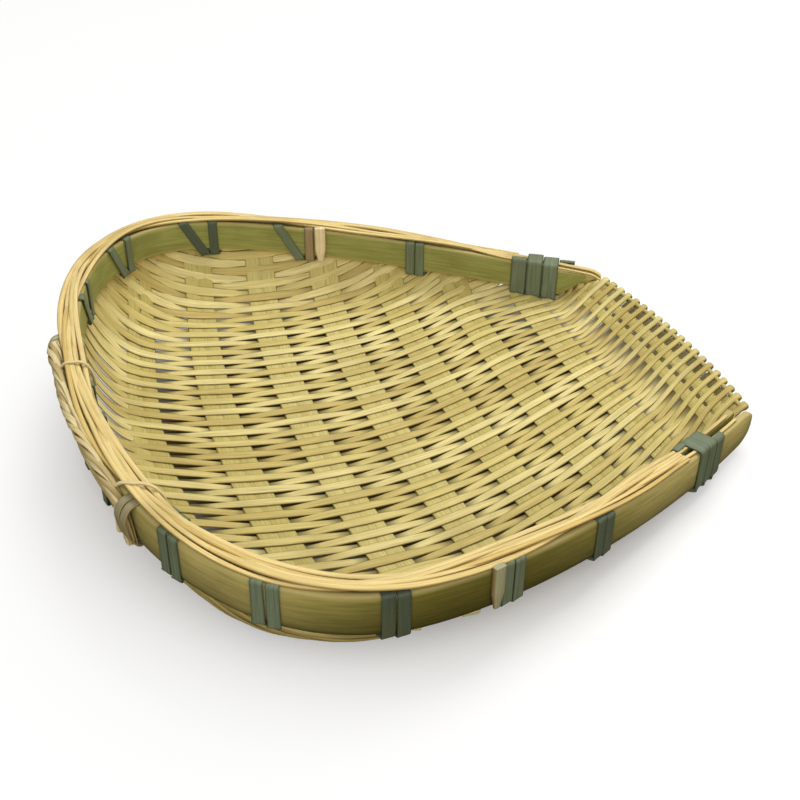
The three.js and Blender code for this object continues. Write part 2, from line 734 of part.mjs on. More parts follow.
// Thin twine that holds the filler strands down, looped over the rim from face to face.
function addTwine(name, s) {
  const radius = TWINE_DIAMETER / 2;
  const reach = radius + CLEARANCE;
  const slant = reach * Math.SQRT1_2;
  const over = STRAND_TOP + reach;
  const middle = (OUTER_FACE - INNER_FACE) / 2;
  const strands = (STRAND_COUNT - 1) / 2 * STRAND_PITCH + STRAND_WIDTH / 2;
  const inside = Math.min(-INNER_FACE, middle - strands) - STRIP_SEAT - reach;
  const outside = Math.max(OUTER_FACE, middle + strands) + reach;
  const points = [
    besideRim(s, inside, -TWINE_LEG),
    besideRim(s, inside, 0),
    besideRim(s, middle - strands - slant, STRAND_TOP + slant),
    besideRim(s, middle - strands, over),
    besideRim(s, middle, over),
    besideRim(s, middle + strands, over),
    besideRim(s, middle + strands + slant, STRAND_TOP + slant),
    besideRim(s, outside, STRIP_SEAT),
  ];
  addPiece(name, tube(points, radius, TWINE_STEPS), FIBRE);
}

addOuterHoop();
addInnerHoop();
addRimStrands();
addCrossSplints();
addLipCore();
addLashings();
addPegs();
addGrip();

const mat = slots.reduce((solid, slot) => solid.subtract(toSolid(slot)), toSolid(matSheet()));
addPiece('woven_mat', fromSolid(mat), STRAW);

// The origin is under the middle of the pan, on the plane that it rests on.
const box = new THREE.Box3().setFromObject(pan);
const centre = box.getCenter(new THREE.Vector3());
pan.position.set(-centre.x, -centre.y, -box.min.z);

const basket = new THREE.Group();
basket.add(pan);

export default basket;
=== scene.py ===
import math
import random

import bpy
import numpy as np
from mathutils import Matrix, Vector


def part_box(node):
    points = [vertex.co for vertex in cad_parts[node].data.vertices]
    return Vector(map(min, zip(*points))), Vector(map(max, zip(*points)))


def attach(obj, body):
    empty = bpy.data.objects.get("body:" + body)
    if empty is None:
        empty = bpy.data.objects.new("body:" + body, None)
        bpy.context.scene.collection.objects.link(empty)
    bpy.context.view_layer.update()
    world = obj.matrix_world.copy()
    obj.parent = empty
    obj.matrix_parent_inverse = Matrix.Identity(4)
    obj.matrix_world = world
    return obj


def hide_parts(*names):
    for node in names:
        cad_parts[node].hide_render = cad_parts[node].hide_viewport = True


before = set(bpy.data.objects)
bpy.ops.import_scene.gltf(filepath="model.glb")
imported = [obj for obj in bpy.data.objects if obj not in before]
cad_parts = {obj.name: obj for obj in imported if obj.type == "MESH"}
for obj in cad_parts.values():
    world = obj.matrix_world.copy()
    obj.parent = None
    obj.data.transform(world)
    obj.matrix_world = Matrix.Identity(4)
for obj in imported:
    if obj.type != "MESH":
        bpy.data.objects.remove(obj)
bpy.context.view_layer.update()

bl_info = {
    "name": "Dustpan basket",
    "version": (1, 0, 0),
    "blender": (4, 5, 0),
    "location": "3D View > Sidebar > Basket",
    "description": "Woven bamboo dustpan basket with lashed hoops, filler strands and a fibre grip",
    "category": "Object",
}

MM = 0.001
TINY = 1e-9
UPWARD = np.array([0.0, 0.0, 1.0])

# Rim and hoops in millimetres.
RIM_WIDTH = 329.0
MOUTH_WIDTH = 149.0
SIDE_LENGTH = 214.0
BACK_DEPTH = 96.0
RIM_DEPTH = SIDE_LENGTH + BACK_DEPTH
SIDE_CURVE_POWER = 1.5
BACK_CURVE_POWER = 2.3
RIM_FRONT_HEIGHT = 22.0
RIM_RISE = 42.0
HOOP_FACE = 1.1
OUTER_FACE = 5.5
INNER_FACE = 4.7
RIM_MIDDLE = (OUTER_FACE - INNER_FACE) / 2
OUTER_HOOP_HEIGHT = 19.5
OUTER_HOOP_OVERRUN = 2.0
INNER_HOOP_HEIGHT = 17.0
INNER_HOOP_SETBACK = 8.0
INNER_HOOP_CLEARANCE = 3.5

# Woven mat: its edge between the hoops, its upturned lip and its belly.
MAT_FACE = 0.8
EDGE_DROP = 19.5
EDGE_CLEARANCE = 0.3
LIP_HEIGHT = 18.0
LIP_MARGIN = 26.0
LIP_BOW = 6.0
LIP_CURVE_POWER = 1.3
FRONT_RISE = 2.5
FRONT_RISE_LENGTH = 110.0
BELLY_FLAT_SHARE = 0.2
BELLY_GENTLE_SHARE = 0.12
BELLY_WALL_POWER = 11.0
LIP_CLIMB = 0.01
COLLAR_CLIMB = 7.0
COLLAR_TOP = -8.0

# Splints across the mat, in pairs that lap a little.
SPLINT_FIRST = 42.0
SPLINT_SPACING = 40.0
SPLINT_BOW = 22.0
SPLINT_PAIRS = 7
SPLINT_REACH = 0.995
SPLINT_STEP = 2.5
SEAM_LAP = 0.45
LIP_PAIR_SETBACK = 9.0
LIP_PAIR_REACH = 0.97
LIP_ROD_RADIUS = 1.1
LIP_ROD_REACH = 0.95

# Lengthwise strands, numbered from left to right, with the changes of their width as shares of it.
FIRST_STRAND = -40
LAST_STRAND = 65
LEAST_STRAND_ROWS = 40
SIDE_STRAND_STEP = 2.4
LIP_STRAND_STEP = 2.0
STRAND_DRIFT = 0.12
WAVE_FLATNESS = 0.06
CREST_SWELL = 0.15
DIVE_PINCH = 0.22
WALL_SWELL = 0.16
LIP_SWELL = 0.3

# Loose strand ends under the left hoop, by their distance from the left front corner.
STRAY_ENDS = (276, 270, 265, 252, 246, 243, 236, 216, 211)
STRAY_END_DROP = -21.2

# Lashings: distances from the right and left front corners, then the run of a slanted start on the right.
FRONT_LASHING = (29.0, 49.0)
FRONT_TURNS = 3
FRONT_STRIP_WIDTHS = {"right": 9.2, "left": 7.6}
FRONT_STRIP_RISE = 1.6
SIDE_LASHINGS = (
    (357.0, 328.5, 13.0),
    (296.0, 286.5, 13.0),
    (233.5, 241.5, 13.0),
    (174.5, 190.5, 13.0),
    (106.5, 137.0, 0.0),
)
SIDE_TURNS = 2
SIDE_STRIP_WIDTH = 5.4
# Lashing on the left side that takes the darkest strip tone as painted shade.
SHADE_PAINTED_LASHING = "side_lashing_3_left"
BROWNED_LASHING = "side_lashing_4_right"
STRIP_CLEARANCE = 0.35
ROUTE_STEP = 0.4

# Back lashings, by their distance from the middle of the back.
BACK_LASHINGS = (18.0, 44.0, 70.0)
BACK_STRIP_WIDTH = 4.6

# Pegs: place out from the rim, half width, shift towards the lashing and tone.
PEG_STANDOFF = 1.7
PEGS = {
    "right": (-INNER_FACE - PEG_STANDOFF, 3.4, 1.9, 0.0),
    "left": (OUTER_FACE + PEG_STANDOFF, 2.7, 0.0, 1.0),
}
PEG_TOP = 2.6
PEG_FOOT = -19.0
PEG_HALF_THICKNESS = 1.4
PEG_TIP_SHARE = 0.65

# Filler strands along the rim.
FILLER_STRANDS = 6
FILLERS_TO_RIGHT_CORNER = (0, 3, 4)
FILLERS_TO_LEFT_CORNER = (1, 4)
FILLER_OVERRUN = 1.5
FILLER_LEFT_SETBACK = 17.0
FILLER_TUCK = 20.0

# Grip, its ties and the twines beside them.
GRIP_HALF_SPAN = 70.0
GRIP_SHIFT = 33.0
GRIP_FIBRES = 13
TIE_INSET = 6.0
TIE_STRIP_WIDTH = 4.0
TIE_TURNS = 2
TIE_BULGE = 5.0
TIE_TONES = {"right": 0.9, "left": 0.5}
TWINE_INSETS = (35.5, 9.0)
TWINE_SLANTS = {"right": 5.0, "left": 18.0}

# Patterns of the materials in millimetres: run of a fibre line, width of a stain and depth of the lines.
FIBRE_RUN = 22.222
STAIN_WIDTH = 38.4615
LINE_DEPTH = 0.4
STRIP_TREE = "Swept strip"

# Stage in metres: the floor, what the camera looks at, and the lamps with their places, sizes and watts.
FLOOR_HALF = 4.0
CAMERA_TARGET = (0, 0.160, 0.030)
TARGET_TO_RIGHT = 0.004713
TARGET_DOWN = 0.012609
LAMP_TARGET = (0, 0, 0.03)
LAMPS = (
    ("key lamp", (0.35, -0.5, 1.15), 0.8, 12.2),
    ("fill lamp", (-0.9, 0.3, 0.6), 1.2, 7.5),
)


def linear(hex_colour):
    """Linear RGBA of an sRGB hex colour."""
    channels = [int(hex_colour[i:i + 2], 16) / 255 for i in (1, 3, 5)]
    return tuple(c / 12.92 if c <= 0.04045 else ((c + 0.055) / 1.055) ** 2.4 for c in channels) + (1.0,)


def length_property(name, description, millimetres):
    """Length that a user may change, kept in metres."""
    return bpy.props.FloatProperty(
        name=name, description=description, default=millimetres * MM, min=0, unit="LENGTH")


def angle_property(name, description, degrees):
    """Angle that a user may change, kept in radians."""
    return bpy.props.FloatProperty(
        name=name, description=description, default=math.radians(degrees), subtype="ANGLE")


def colour_property(name, description, hex_colour):
    """Colour that a user may change."""
    return bpy.props.FloatVectorProperty(
        name=name, description=description, subtype="COLOR", size=4, min=0, max=1, default=linear(hex_colour))


class BasketWeaveSettings(bpy.types.PropertyGroup):
    lip_pitch: length_property("Pitch at lip", "Distance from strand to strand at the lip", 3.72)
    back_pitch: length_property("Pitch at back", "Distance from strand to strand at the back", 5.0)
    strand_thickness: length_property("Strand thickness", "Thickness of a lengthwise strand", 1.1)
    wave_height: length_property("Wave height", "Rise of a strand over a pair of splints", 0.9)
    lift: length_property("Lift", "Height of the weave's middle over the mat's middle", 0.65)
    splint_width: length_property("Splint width", "Width of one cross splint", 9.1)
    lip_splint_width: length_property("Lip splint width", "Width of one splint in the lip", 6.9)
    splint_thickness: length_property("Splint thickness", "Thickness of one cross splint", 0.9)
    seed: bpy.props.IntProperty(name="Seed", description="Seed of the strands' small differences", default=7)
    straw: colour_property("Straw", "Main colour of the strands", "#cebb72")
    pale: colour_property("Pale straw", "Colour of the palest strands", "#e2d291")
    brown: colour_property("Brown straw", "Colour of the darkest strands", "#bfa966")
    stain: colour_property("Stain", "Green and brown stains on the strands", "#a59050")


class BasketRimSettings(bpy.types.PropertyGroup):
    strand_width: length_property("Filler width", "Width of one filler strand", 2.7)
    strand_thickness: length_property("Filler thickness", "Thickness of one filler strand", 1.5)
    plait_length: length_property("Plait length", "Length of rim for one turn of the plait", 300)
    green: colour_property("Inner hoop green", "Skin of the inner hoop", "#939350")
    olive: colour_property("Outer hoop olive", "Skin of the outer hoop", "#958a48")
    hoop_stain: colour_property("Hoop stain", "Brown and darker stains on the hoops", "#57501f")
    hoop_edge: colour_property("Hoop edge", "Cut edges of the hoops", "#b5a468")
    gold: colour_property("Filler gold", "Main colour of the filler strands", "#d8bb72")


class BasketLashingSettings(bpy.types.PropertyGroup):
    strip_thickness: length_property("Strip thickness", "Thickness of a bamboo skin strip", 0.8)
    skin: colour_property("Strip skin", "Bamboo skin of the lashings", "#707b62")
    skin_dark: colour_property("Strip shade", "Darker streaks of the lashings", "#4d5545")
    peg: colour_property("Peg wood", "Whittled wood of the pegs", "#e6d2a6")
    fibre: colour_property("Fibre", "Twisted plant fibre of the grip", "#d6c088")
    fibre_dark: colour_property("Dark fibre", "Darker fibre of the grip and its ties", "#9a8452")


class BasketStageSettings(bpy.types.PropertyGroup):
    lens: bpy.props.FloatProperty(
        name="Lens", description="Focal length", default=50.34, min=1, unit="CAMERA")
    distance: length_property("Distance", "Camera to the point it looks at", 564.66)
    elevation: angle_property("Elevation", "Camera's angle over the floor", 34.188)
    azimuth: angle_property("Azimuth", "Camera's angle round the pan", -110.755)
    roll: angle_property("Roll", "Camera's turn about its own line of sight", 0.704)
    floor: colour_property("Floor", "Pale floor", "#f6f4f0")


def rise(value, start, length):
    """Smooth climb from 0 to 1, which begins at start and takes the given length."""
    share = np.clip((value - start) / length, 0, 1)
    return share * share * (3 - 2 * share)


def fade(value, length):
    """Even fall from 1 to 0 over the given length."""
    return np.clip(1 - value / length, 0, 1)


def unit(vectors):
    """The same directions, each with a length of one."""
    return vectors / np.maximum(np.linalg.norm(vectors, axis=-1, keepdims=True), TINY)


def lengths_along(points):
    """Length of a line from its start to each of its points."""
    return np.concatenate([[0], np.cumsum(np.linalg.norm(np.diff(points, axis=0), axis=1))])


def columns_at(places, lengths, values):
    """Three columns of values that belong to a line, read off at places along it."""
    return np.stack([np.interp(places, lengths, values[:, i]) for i in range(3)], -1)


def rim_top(y):
    """Height of the hoops' top edge."""
    return RIM_FRONT_HEIGHT + RIM_RISE * y / RIM_DEPTH


def side_half_width(y):
    """Half of the rim's width along its two sides."""
    share = np.clip(y / SIDE_LENGTH, 0, 1)
    return MOUTH_WIDTH / 2 + (RIM_WIDTH - MOUTH_WIDTH) / 2 * (1 - (1 - share) ** SIDE_CURVE_POWER)


def half_width(y):
    """Half of the rim's width at a distance behind the mouth."""
    share = np.clip((y - SIDE_LENGTH) / BACK_DEPTH, 0, 1) ** BACK_CURVE_POWER
    back = RIM_WIDTH / 2 * (1 - share) ** (1 / BACK_CURVE_POWER)
    return np.where(y <= SIDE_LENGTH, side_half_width(y), back)


def rim_line():
    """Lengths, points and outward directions of the rim, from the right front corner to the left one."""
    y = np.linspace(0, SIDE_LENGTH, 500)
    angle = np.linspace(0, np.pi, 1000)[1:-1]
    cosine = np.cos(angle)
    back_x = RIM_WIDTH / 2 * np.sign(cosine) * np.abs(cosine) ** (2 / BACK_CURVE_POWER)
    back_y = SIDE_LENGTH + BACK_DEPTH * np.sin(angle) ** (2 / BACK_CURVE_POWER)
    x = np.concatenate([side_half_width(y), back_x, -side_half_width(y)[::-1]])
    y = np.concatenate([y, back_y, y[::-1]])
    points = np.stack([x, y, rim_top(y)], -1)
    lengths = lengths_along(points)
    forward = unit(np.gradient(points[:, :2], lengths, axis=0))
    outward = np.stack([forward[:, 1], -forward[:, 0], np.zeros(len(x))], -1)
    return lengths, points, outward


RIM_LENGTHS, RIM_POINTS, RIM_OUTWARD = rim_line()
RIM_LENGTH = RIM_LENGTHS[-1]


def outward_at(place):
    """Level direction out of the pan at places along the rim."""
    return columns_at(place, RIM_LENGTHS, RIM_OUTWARD)


def beside_rim(place, out, up):
    """Points beside the rim's top line."""
    place = np.asarray(place, float)
    held = np.clip(place, 0, RIM_LENGTH)
    outward = outward_at(held)
    forward = np.stack([-outward[..., 1], outward[..., 0], np.zeros(place.shape)], -1)
    points = columns_at(held, RIM_LENGTHS, RIM_POINTS) + forward * (place - held)[..., None]
    points = points + outward * np.asarray(out, float)[..., None]
    points[..., 2] += up
    return points


def nearest_place(x, y):
    """Places along the rim that are nearest to points seen from above."""
    away = (RIM_POINTS[None, :, 0] - x[:, None]) ** 2 + (RIM_POINTS[None, :, 1] - y[:, None]) ** 2
    return RIM_LENGTHS[np.argmin(away, axis=1)]


def rim_inward(row, x):
    """Level directions into the pan at points near the rim."""
    return -outward_at(nearest_place(x, row))


def floor_line(row):
    """Height of the mat's underside along the pan's middle, which turns up at the lip."""
    gentle = FRONT_RISE * np.clip(1 - row / FRONT_RISE_LENGTH, 0, None) ** 2
    return gentle + (LIP_HEIGHT - FRONT_RISE) * np.clip(1 - row / LIP_MARGIN, 0, None) ** LIP_CURVE_POWER


def edge_line(row):
    """Height of the mat's edge under the hoops."""
    return np.maximum(rim_top(row) - EDGE_DROP - EDGE_CLEARANCE, floor_line(row))


def edge_share(x, row):
    """Share of the way from the pan's middle to its edge."""
    behind = (np.clip(row - SIDE_LENGTH, 0, None) / BACK_DEPTH) ** BACK_CURVE_POWER
    back = ((np.abs(x) / (RIM_WIDTH / 2)) ** BACK_CURVE_POWER + behind) ** (1 / BACK_CURVE_POWER)
    return np.where(row <= SIDE_LENGTH, np.abs(x) / side_half_width(row), back)


def mat_point(row, x):
    """Point on the middle of the woven mat."""
    share = np.minimum(edge_share(x, row), 1)
    reach = np.clip((share - BELLY_FLAT_SHARE) / (1 - BELLY_FLAT_SHARE), 0, None)
    bowl = BELLY_GENTLE_SHARE * reach ** 2 + (1 - BELLY_GENTLE_SHARE) * reach ** BELLY_WALL_POWER
    low = floor_line(row)
    bow = LIP_BOW * (1 - share ** 2) * np.clip(1 - row / LIP_MARGIN, 0, None)
    return np.stack([x, row - bow, MAT_FACE + low + (edge_line(row) - low) * bowl], -1)


def mat_upward(row, x):
    """Direction square to the mat, on its upper side."""
    step = 0.1
    held = np.clip(row, step, RIM_DEPTH - step)
    sideways = mat_point(held, x + step) - mat_point(held, x - step)
    backward = mat_point(held + step, x) - mat_point(held - step, x)
    return unit(np.cross(sideways, backward))


def pan_shift():
    """Vector in metres from the pan's own frame to the shared frame."""
    low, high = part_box("woven_mat")
    return np.array([(low[0] + high[0]) / 2, high[1] - (RIM_DEPTH + MAT_FACE) * MM, 0])


def resampled(points, others, step):
    """Points at even steps along a line, with other columns of values kept beside them."""
    lengths = lengths_along(points)
    places = np.linspace(0, lengths[-1], max(3, int(lengths[-1] / step) + 1))
    return [columns_at(places, lengths, values) for values in (points, *others)]


def strip(points, facing, half, thick, shade, dive_shade=0.0):
    """One strip along a line: its broad face looks towards facing, half and thick are half sizes."""
    points = np.asarray(points, float)
    count = len(points)
    tangent = unit(np.gradient(points, axis=0))
    facing = unit(facing - tangent * np.sum(facing * tangent, axis=1)[:, None])
    return {
        "spine": points,
        "facing": facing,
        "side": np.cross(tangent, facing),
        "half": np.broadcast_to(half, count),
        "thick": np.broadcast_to(thick, count),
        "along": lengths_along(points),
        "shade": np.broadcast_to(shade, count),
        "grain": np.full(count, np.mean(shade)),
        "dive_shade": np.broadcast_to(dive_shade, count),
    }


def add(tree, kind, inputs=None, **settings):
    """Node of a kind, with its settings and its inputs; a node as an input stands for its first output."""
    node = tree.nodes.new(kind)
    for key, value in settings.items():
        setattr(node, key, value)
    for key, value in (inputs or {}).items():
        if isinstance(value, bpy.types.Node):
            value = value.outputs[0]
        if isinstance(value, bpy.types.NodeSocket):
            tree.links.new(value, node.inputs[key])
        else:
            node.inputs[key].default_value = value
    return node


def strip_tree():
    """Geometry Nodes tree that gives every line of a mesh the section of a flat or round strip."""
    tree = bpy.data.node_groups.new(STRIP_TREE, "GeometryNodeTree")
    for name, kind in (("Lines", "NodeSocketGeometry"), ("Sides", "NodeSocketInt"),
                       ("Squareness", "NodeSocketFloat"), ("Material", "NodeSocketMaterial")):
        tree.interface.new_socket(name, in_out="INPUT", socket_type=kind)
    tree.interface.new_socket("Strips", in_out="OUTPUT", socket_type="NodeSocketGeometry")
    given = add(tree, "NodeGroupInput")
    squareness = given.outputs["Squareness"]
    lines = add(tree, "GeometryNodeMeshToCurve", {"Mesh": given.outputs["Lines"]})
    section = add(tree, "GeometryNodeCurvePrimitiveCircle",
                  {"Resolution": given.outputs["Sides"], "Radius": 1.0})
    place = add(tree, "ShaderNodeSeparateXYZ", {0: add(tree, "GeometryNodeInputPosition")})
    profile = section.outputs["Curve"]
    for axis, name in ((0, "rise"), (1, "across")):
        value = place.outputs[axis]
        size = add(tree, "ShaderNodeMath", {0: value}, operation="ABSOLUTE")
        bulge = add(tree, "ShaderNodeMath", {0: size, 1: squareness}, operation="POWER")
        way = add(tree, "ShaderNodeMath", {0: value}, operation="SIGN")
        signed = add(tree, "ShaderNodeMath", {0: bulge, 1: way}, operation="MULTIPLY")
        kept = add(tree, "GeometryNodeStoreNamedAttribute",
                   {"Geometry": profile, "Name": name, "Value": signed}, data_type="FLOAT", domain="POINT")
        profile = kept.outputs["Geometry"]
    swept = add(tree, "GeometryNodeCurveToMesh",
                {"Curve": lines.outputs["Curve"], "Profile Curve": profile, "Fill Caps": True})
    named = {}
    for name, kind in (("spine", "FLOAT_VECTOR"), ("facing", "FLOAT_VECTOR"), ("side", "FLOAT_VECTOR"),
                       ("half", "FLOAT"), ("thick", "FLOAT"), ("rise", "FLOAT"), ("across", "FLOAT")):
        named[name] = add(tree, "GeometryNodeInputNamedAttribute", {"Name": name}, data_type=kind)
    position = named["spine"]
    for direction, size, share in (("facing", "thick", "rise"), ("side", "half", "across")):
        reach = add(tree, "ShaderNodeMath", {0: named[size], 1: named[share]}, operation="MULTIPLY")
        shift = add(tree, "ShaderNodeVectorMath", {0: named[direction], "Scale": reach}, operation="SCALE")
        position = add(tree, "ShaderNodeVectorMath", {0: position, 1: shift}, operation="ADD")
    shaped = add(tree, "GeometryNodeSetPosition", {"Geometry": swept.outputs["Mesh"], "Position": position})
    smooth = add(tree, "GeometryNodeSetShadeSmooth", {"Geometry": shaped.outputs["Geometry"]})
    real = add(tree, "GeometryNodeRealizeInstances", {"Geometry": smooth.outputs["Geometry"]})
    finish = add(tree, "GeometryNodeSetMaterial",
                 {"Geometry": real.outputs["Geometry"], "Material": given.outputs["Material"]})
    add(tree, "NodeGroupOutput", {"Strips": finish.outputs["Geometry"]})
    return tree


def line_mesh(name, strips):
    """Mesh of the strips' lines, in metres in the shared frame, with their values as attributes."""
    joined = {key: np.concatenate([made[key] for made in strips]) for key in strips[0]}
    joined["spine"] = joined["spine"] * MM + pan_shift()
    for key in ("half", "thick", "along"):
        joined[key] = joined[key] * MM
    edges = []
    start = 0
    for made in strips:
        end = start + len(made["spine"])
        edges += [(i, i + 1) for i in range(start, end - 1)]
        start = end
    lines = bpy.data.meshes.new(name)
    lines.from_pydata(joined["spine"].tolist(), edges, [])
    for key, values in joined.items():
        kind, field = ("FLOAT_VECTOR", "vector") if values.ndim == 2 else ("FLOAT", "value")
        lines.attributes.new(key, kind, "POINT").data.foreach_set(field, values.ravel().astype(np.float32))
    return lines


def swept_mesh(lines, material, sides, squareness):
    """Plain mesh of strips swept along the lines of a mesh, which is then removed."""
    holder = bpy.data.objects.new("lines", lines)
    bpy.context.scene.collection.objects.link(holder)
    tree = bpy.data.node_groups.get(STRIP_TREE) or strip_tree()
    sweep = holder.modifiers.new("Sweep", "NODES")
    sweep.node_group = tree
    sockets = {item.name: item.identifier for item in tree.interface.items_tree if item.in_out == "INPUT"}
    for label, value in (("Sides", sides), ("Squareness", squareness), ("Material", material)):
        sweep[sockets[label]] = value
    depsgraph = bpy.context.evaluated_depsgraph_get()
    mesh = bpy.data.meshes.new_from_object(
        holder.evaluated_get(depsgraph), preserve_all_data_layers=True, depsgraph=depsgraph)
    bpy.data.objects.remove(holder)
    bpy.data.meshes.remove(lines)
    return mesh


def signed_volume(mesh):
    """Volume of a closed mesh, below nothing where its faces look inwards."""
    mesh.calc_loop_triangles()
    corners = np.zeros(len(mesh.loop_triangles) * 3, np.int32)
    mesh.loop_triangles.foreach_get("vertices", corners)
    places = np.zeros(len(mesh.vertices) * 3, np.float32)
    mesh.vertices.foreach_get("co", places)
    a, b, c = places.reshape(-1, 3)[corners.reshape(-1, 3)].transpose(1, 0, 2)
    return float(np.sum(a * np.cross(b, c)) / 6)


def swept_piece(name, strips, material, nodes, sides, squareness):
    """Piece made of swept strips, which rides on the pan and stands for the given solids."""
    mesh = swept_mesh(line_mesh(name, strips), material, sides, squareness)
    if not mesh.polygons:
        raise RuntimeError("no strips were swept for " + name)
    for key in ("spine", "facing", "side", "half", "thick", "rise"):
        mesh.attributes.remove(mesh.attributes[key])
    mesh.name = name
    if signed_volume(mesh) < 0:
        mesh.flip_normals()
    piece = bpy.data.objects.new(name, mesh)
    bpy.context.scene.collection.objects.link(piece)
    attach(piece, "root")
    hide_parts(*nodes)


def bamboo_material(name, tones, stain, edges, line_count, roughness, bump, stain_share, low=1.0):
    """Split bamboo or fibre, with a tone for each strip, two edge colours, and painted shade on a low side
    and where a strand dives under a splint.
    """
    found = bpy.data.materials.get(name)
    if found:
        return found
    material = bpy.data.materials.new(name)
    material.use_nodes = True
    tree = material.node_tree
    tree.nodes.clear()
    along, across, shade, grain, dive_shade = (
        add(tree, "ShaderNodeAttribute", attribute_name=key).outputs["Fac"]
        for key in ("along", "across", "shade", "grain", "dive_shade"))
    ramp = add(tree, "ShaderNodeValToRGB", {0: shade})
    for i, tone in enumerate(tones):
        place = i / (len(tones) - 1)
        stop = ramp.color_ramp.elements[i] if i < 2 else ramp.color_ramp.elements.new(place)
        stop.position = place
        stop.color = tone
    # Fine lines along the strip, drawn coarser than real fibres so that they show; each strip has its own.
    lengthwise = add(tree, "ShaderNodeMath", {0: along, 1: 1 / (FIBRE_RUN * MM)}, operation="MULTIPLY")
    crosswise = add(tree, "ShaderNodeMath", {0: across, 1: line_count}, operation="MULTIPLY")
    strip_offset = add(tree, "ShaderNodeMath", {0: grain, 1: 83.0}, operation="MULTIPLY")
    fibre_place = add(tree, "ShaderNodeCombineXYZ", {0: lengthwise, 1: crosswise, 2: strip_offset})
    fibre = add(tree, "ShaderNodeTexNoise",
                {"Vector": fibre_place, "Scale": 1.0, "Detail": 3.0, "Roughness": 0.6})
    lines = add(tree, "ShaderNodeMapRange", {0: fibre.outputs["Fac"], 1: 0.3, 2: 0.7, 3: 0.74, 4: 1.12})
    lined = add(tree, "ShaderNodeMix", {0: 1.0, 6: ramp.outputs["Color"], 7: lines},
                data_type="RGBA", blend_type="MULTIPLY")
    # Stains in patches a few centimetres wide.
    spot = add(tree, "ShaderNodeTexNoise",
               {"Vector": add(tree, "ShaderNodeTexCoord").outputs["Object"],
                "Scale": 1 / (STAIN_WIDTH * MM), "Detail": 4.0})
    patch = add(tree, "ShaderNodeMapRange",
                {0: spot.outputs["Fac"], 1: 0.48, 2: 0.72, 3: 0.0, 4: stain_share})
    stained = add(tree, "ShaderNodeMix", {0: patch, 6: lined.outputs[2], 7: stain}, data_type="RGBA")
    # Painted shade: a darker low side, and darkening where a strand dives under a splint.
    depth = add(tree, "ShaderNodeMapRange", {0: across, 1: -0.6, 2: 1.0, 3: 1.0, 4: low})
    dive_darkening = add(tree, "ShaderNodeMapRange", {0: dive_shade, 1: 0.0, 2: 1.0, 3: 1.0, 4: 0.22})
    tone = add(tree, "ShaderNodeMath", {0: depth, 1: dive_darkening}, operation="MULTIPLY")
    shaded = add(tree, "ShaderNodeMix", {0: 1.0, 6: stained.outputs[2], 7: tone},
                 data_type="RGBA", blend_type="MULTIPLY")
    # Edge colours of the strip: cut edges, and painted shade along the edges of strands and on the outer
    # hoop's lower edge.
    outer = add(tree, "ShaderNodeMath", {0: across}, operation="ABSOLUTE")
    rim = add(tree, "ShaderNodeMapRange", {0: outer, 1: 0.74, 2: 1.0, 3: 0.0, 4: 0.85})
    half_way = add(tree, "ShaderNodeMapRange", {0: across, 1: -0.5, 2: 0.5, 3: 0.0, 4: 1.0})
    edge = add(tree, "ShaderNodeMix", {0: half_way, 6: edges[0], 7: edges[1]}, data_type="RGBA")
    edged = add(tree, "ShaderNodeMix", {0: rim, 6: shaded.outputs[2], 7: edge.outputs[2]}, data_type="RGBA")
    relief = add(tree, "ShaderNodeBump",
                 {"Strength": bump, "Distance": LINE_DEPTH * MM, "Height": fibre.outputs["Fac"]})
    surface = add(tree, "ShaderNodeBsdfPrincipled", {
        "Base Color": edged.outputs[2], "Roughness": roughness, "IOR": 1.5, "Specular IOR Level": 0.15,
        "Normal": relief})
    add(tree, "ShaderNodeOutputMaterial", {0: surface})
    return material


def strand_material(settings):
    # Split bamboo scraped smooth: satin straw, some strands paler, with worn stains and brown edges that are
    # painted shade where strands meet.
    tones = [settings.brown, settings.straw, settings.pale, settings.straw, settings.pale]
    edge = linear("#735d27")
    return bamboo_material("split bamboo strand", tones, settings.stain, (edge, edge),
                           line_count=3.0, roughness=0.55, bump=0.5, stain_share=0.5)


def splint_material(settings):
    # Flat splints, split and left rough: dull straw with fine lines that show in the weave's squares.
    tones = [linear("#b8a85c"), linear("#cbbc76"), linear("#c0b066")]
    seam = linear("#b6a55f")
    return bamboo_material("split bamboo splint", tones, settings.stain, (seam, seam),
                           line_count=8.0, roughness=0.6, bump=0.8, stain_share=0.4)


def outer_hoop_material(settings):
    # Bamboo with its skin on, weathered to olive: faint lines and brown stains; its lower side and dark lower
    # edge are painted shade.
    tones = [linear("#d2c078"), settings.olive, linear("#655d22")]
    edges = (settings.hoop_edge, linear("#3b3614"))
    return bamboo_material("olive bamboo skin", tones, settings.hoop_stain, edges,
                           line_count=7.0, roughness=0.6, bump=0.25, stain_share=0.4, low=0.4)


def inner_hoop_material(settings):
    # Bamboo with its skin on, still green: a soft sheen, brown stains and pale cut edges.
    green = settings.green
    edge = settings.hoop_edge
    return bamboo_material("green bamboo skin", [green, green], settings.hoop_stain, (edge, edge),
                           line_count=7.0, roughness=0.5, bump=0.25, stain_share=0.4)


def filler_material(settings):
    # Thin split strands: golden and satin, with darker edges that part them.
    gold = settings.gold
    tones = [linear("#b08f47"), gold, linear("#e6cf90"), gold]
    edge = linear("#8a6d31")
    return bamboo_material("golden bamboo strand", tones, linear("#94783a"), (edge, edge),
                           line_count=2.0, roughness=0.5, bump=0.4, stain_share=0.5)


def skin_material(settings):
    # Strips of bamboo skin, dried to a dull grey green, with dark edges; one of them browns along its way,
    # and one on the left side takes the darkest tone as painted shade.
    skin = settings.skin
    dark = settings.skin_dark
    tones = [dark, skin, linear("#707a60"), skin, linear("#9c8560")]
    return bamboo_material("bamboo skin strip", tones, linear("#5b5a36"), (dark, dark),
                           line_count=4.0, roughness=0.5, bump=0.4, stain_share=0.5)


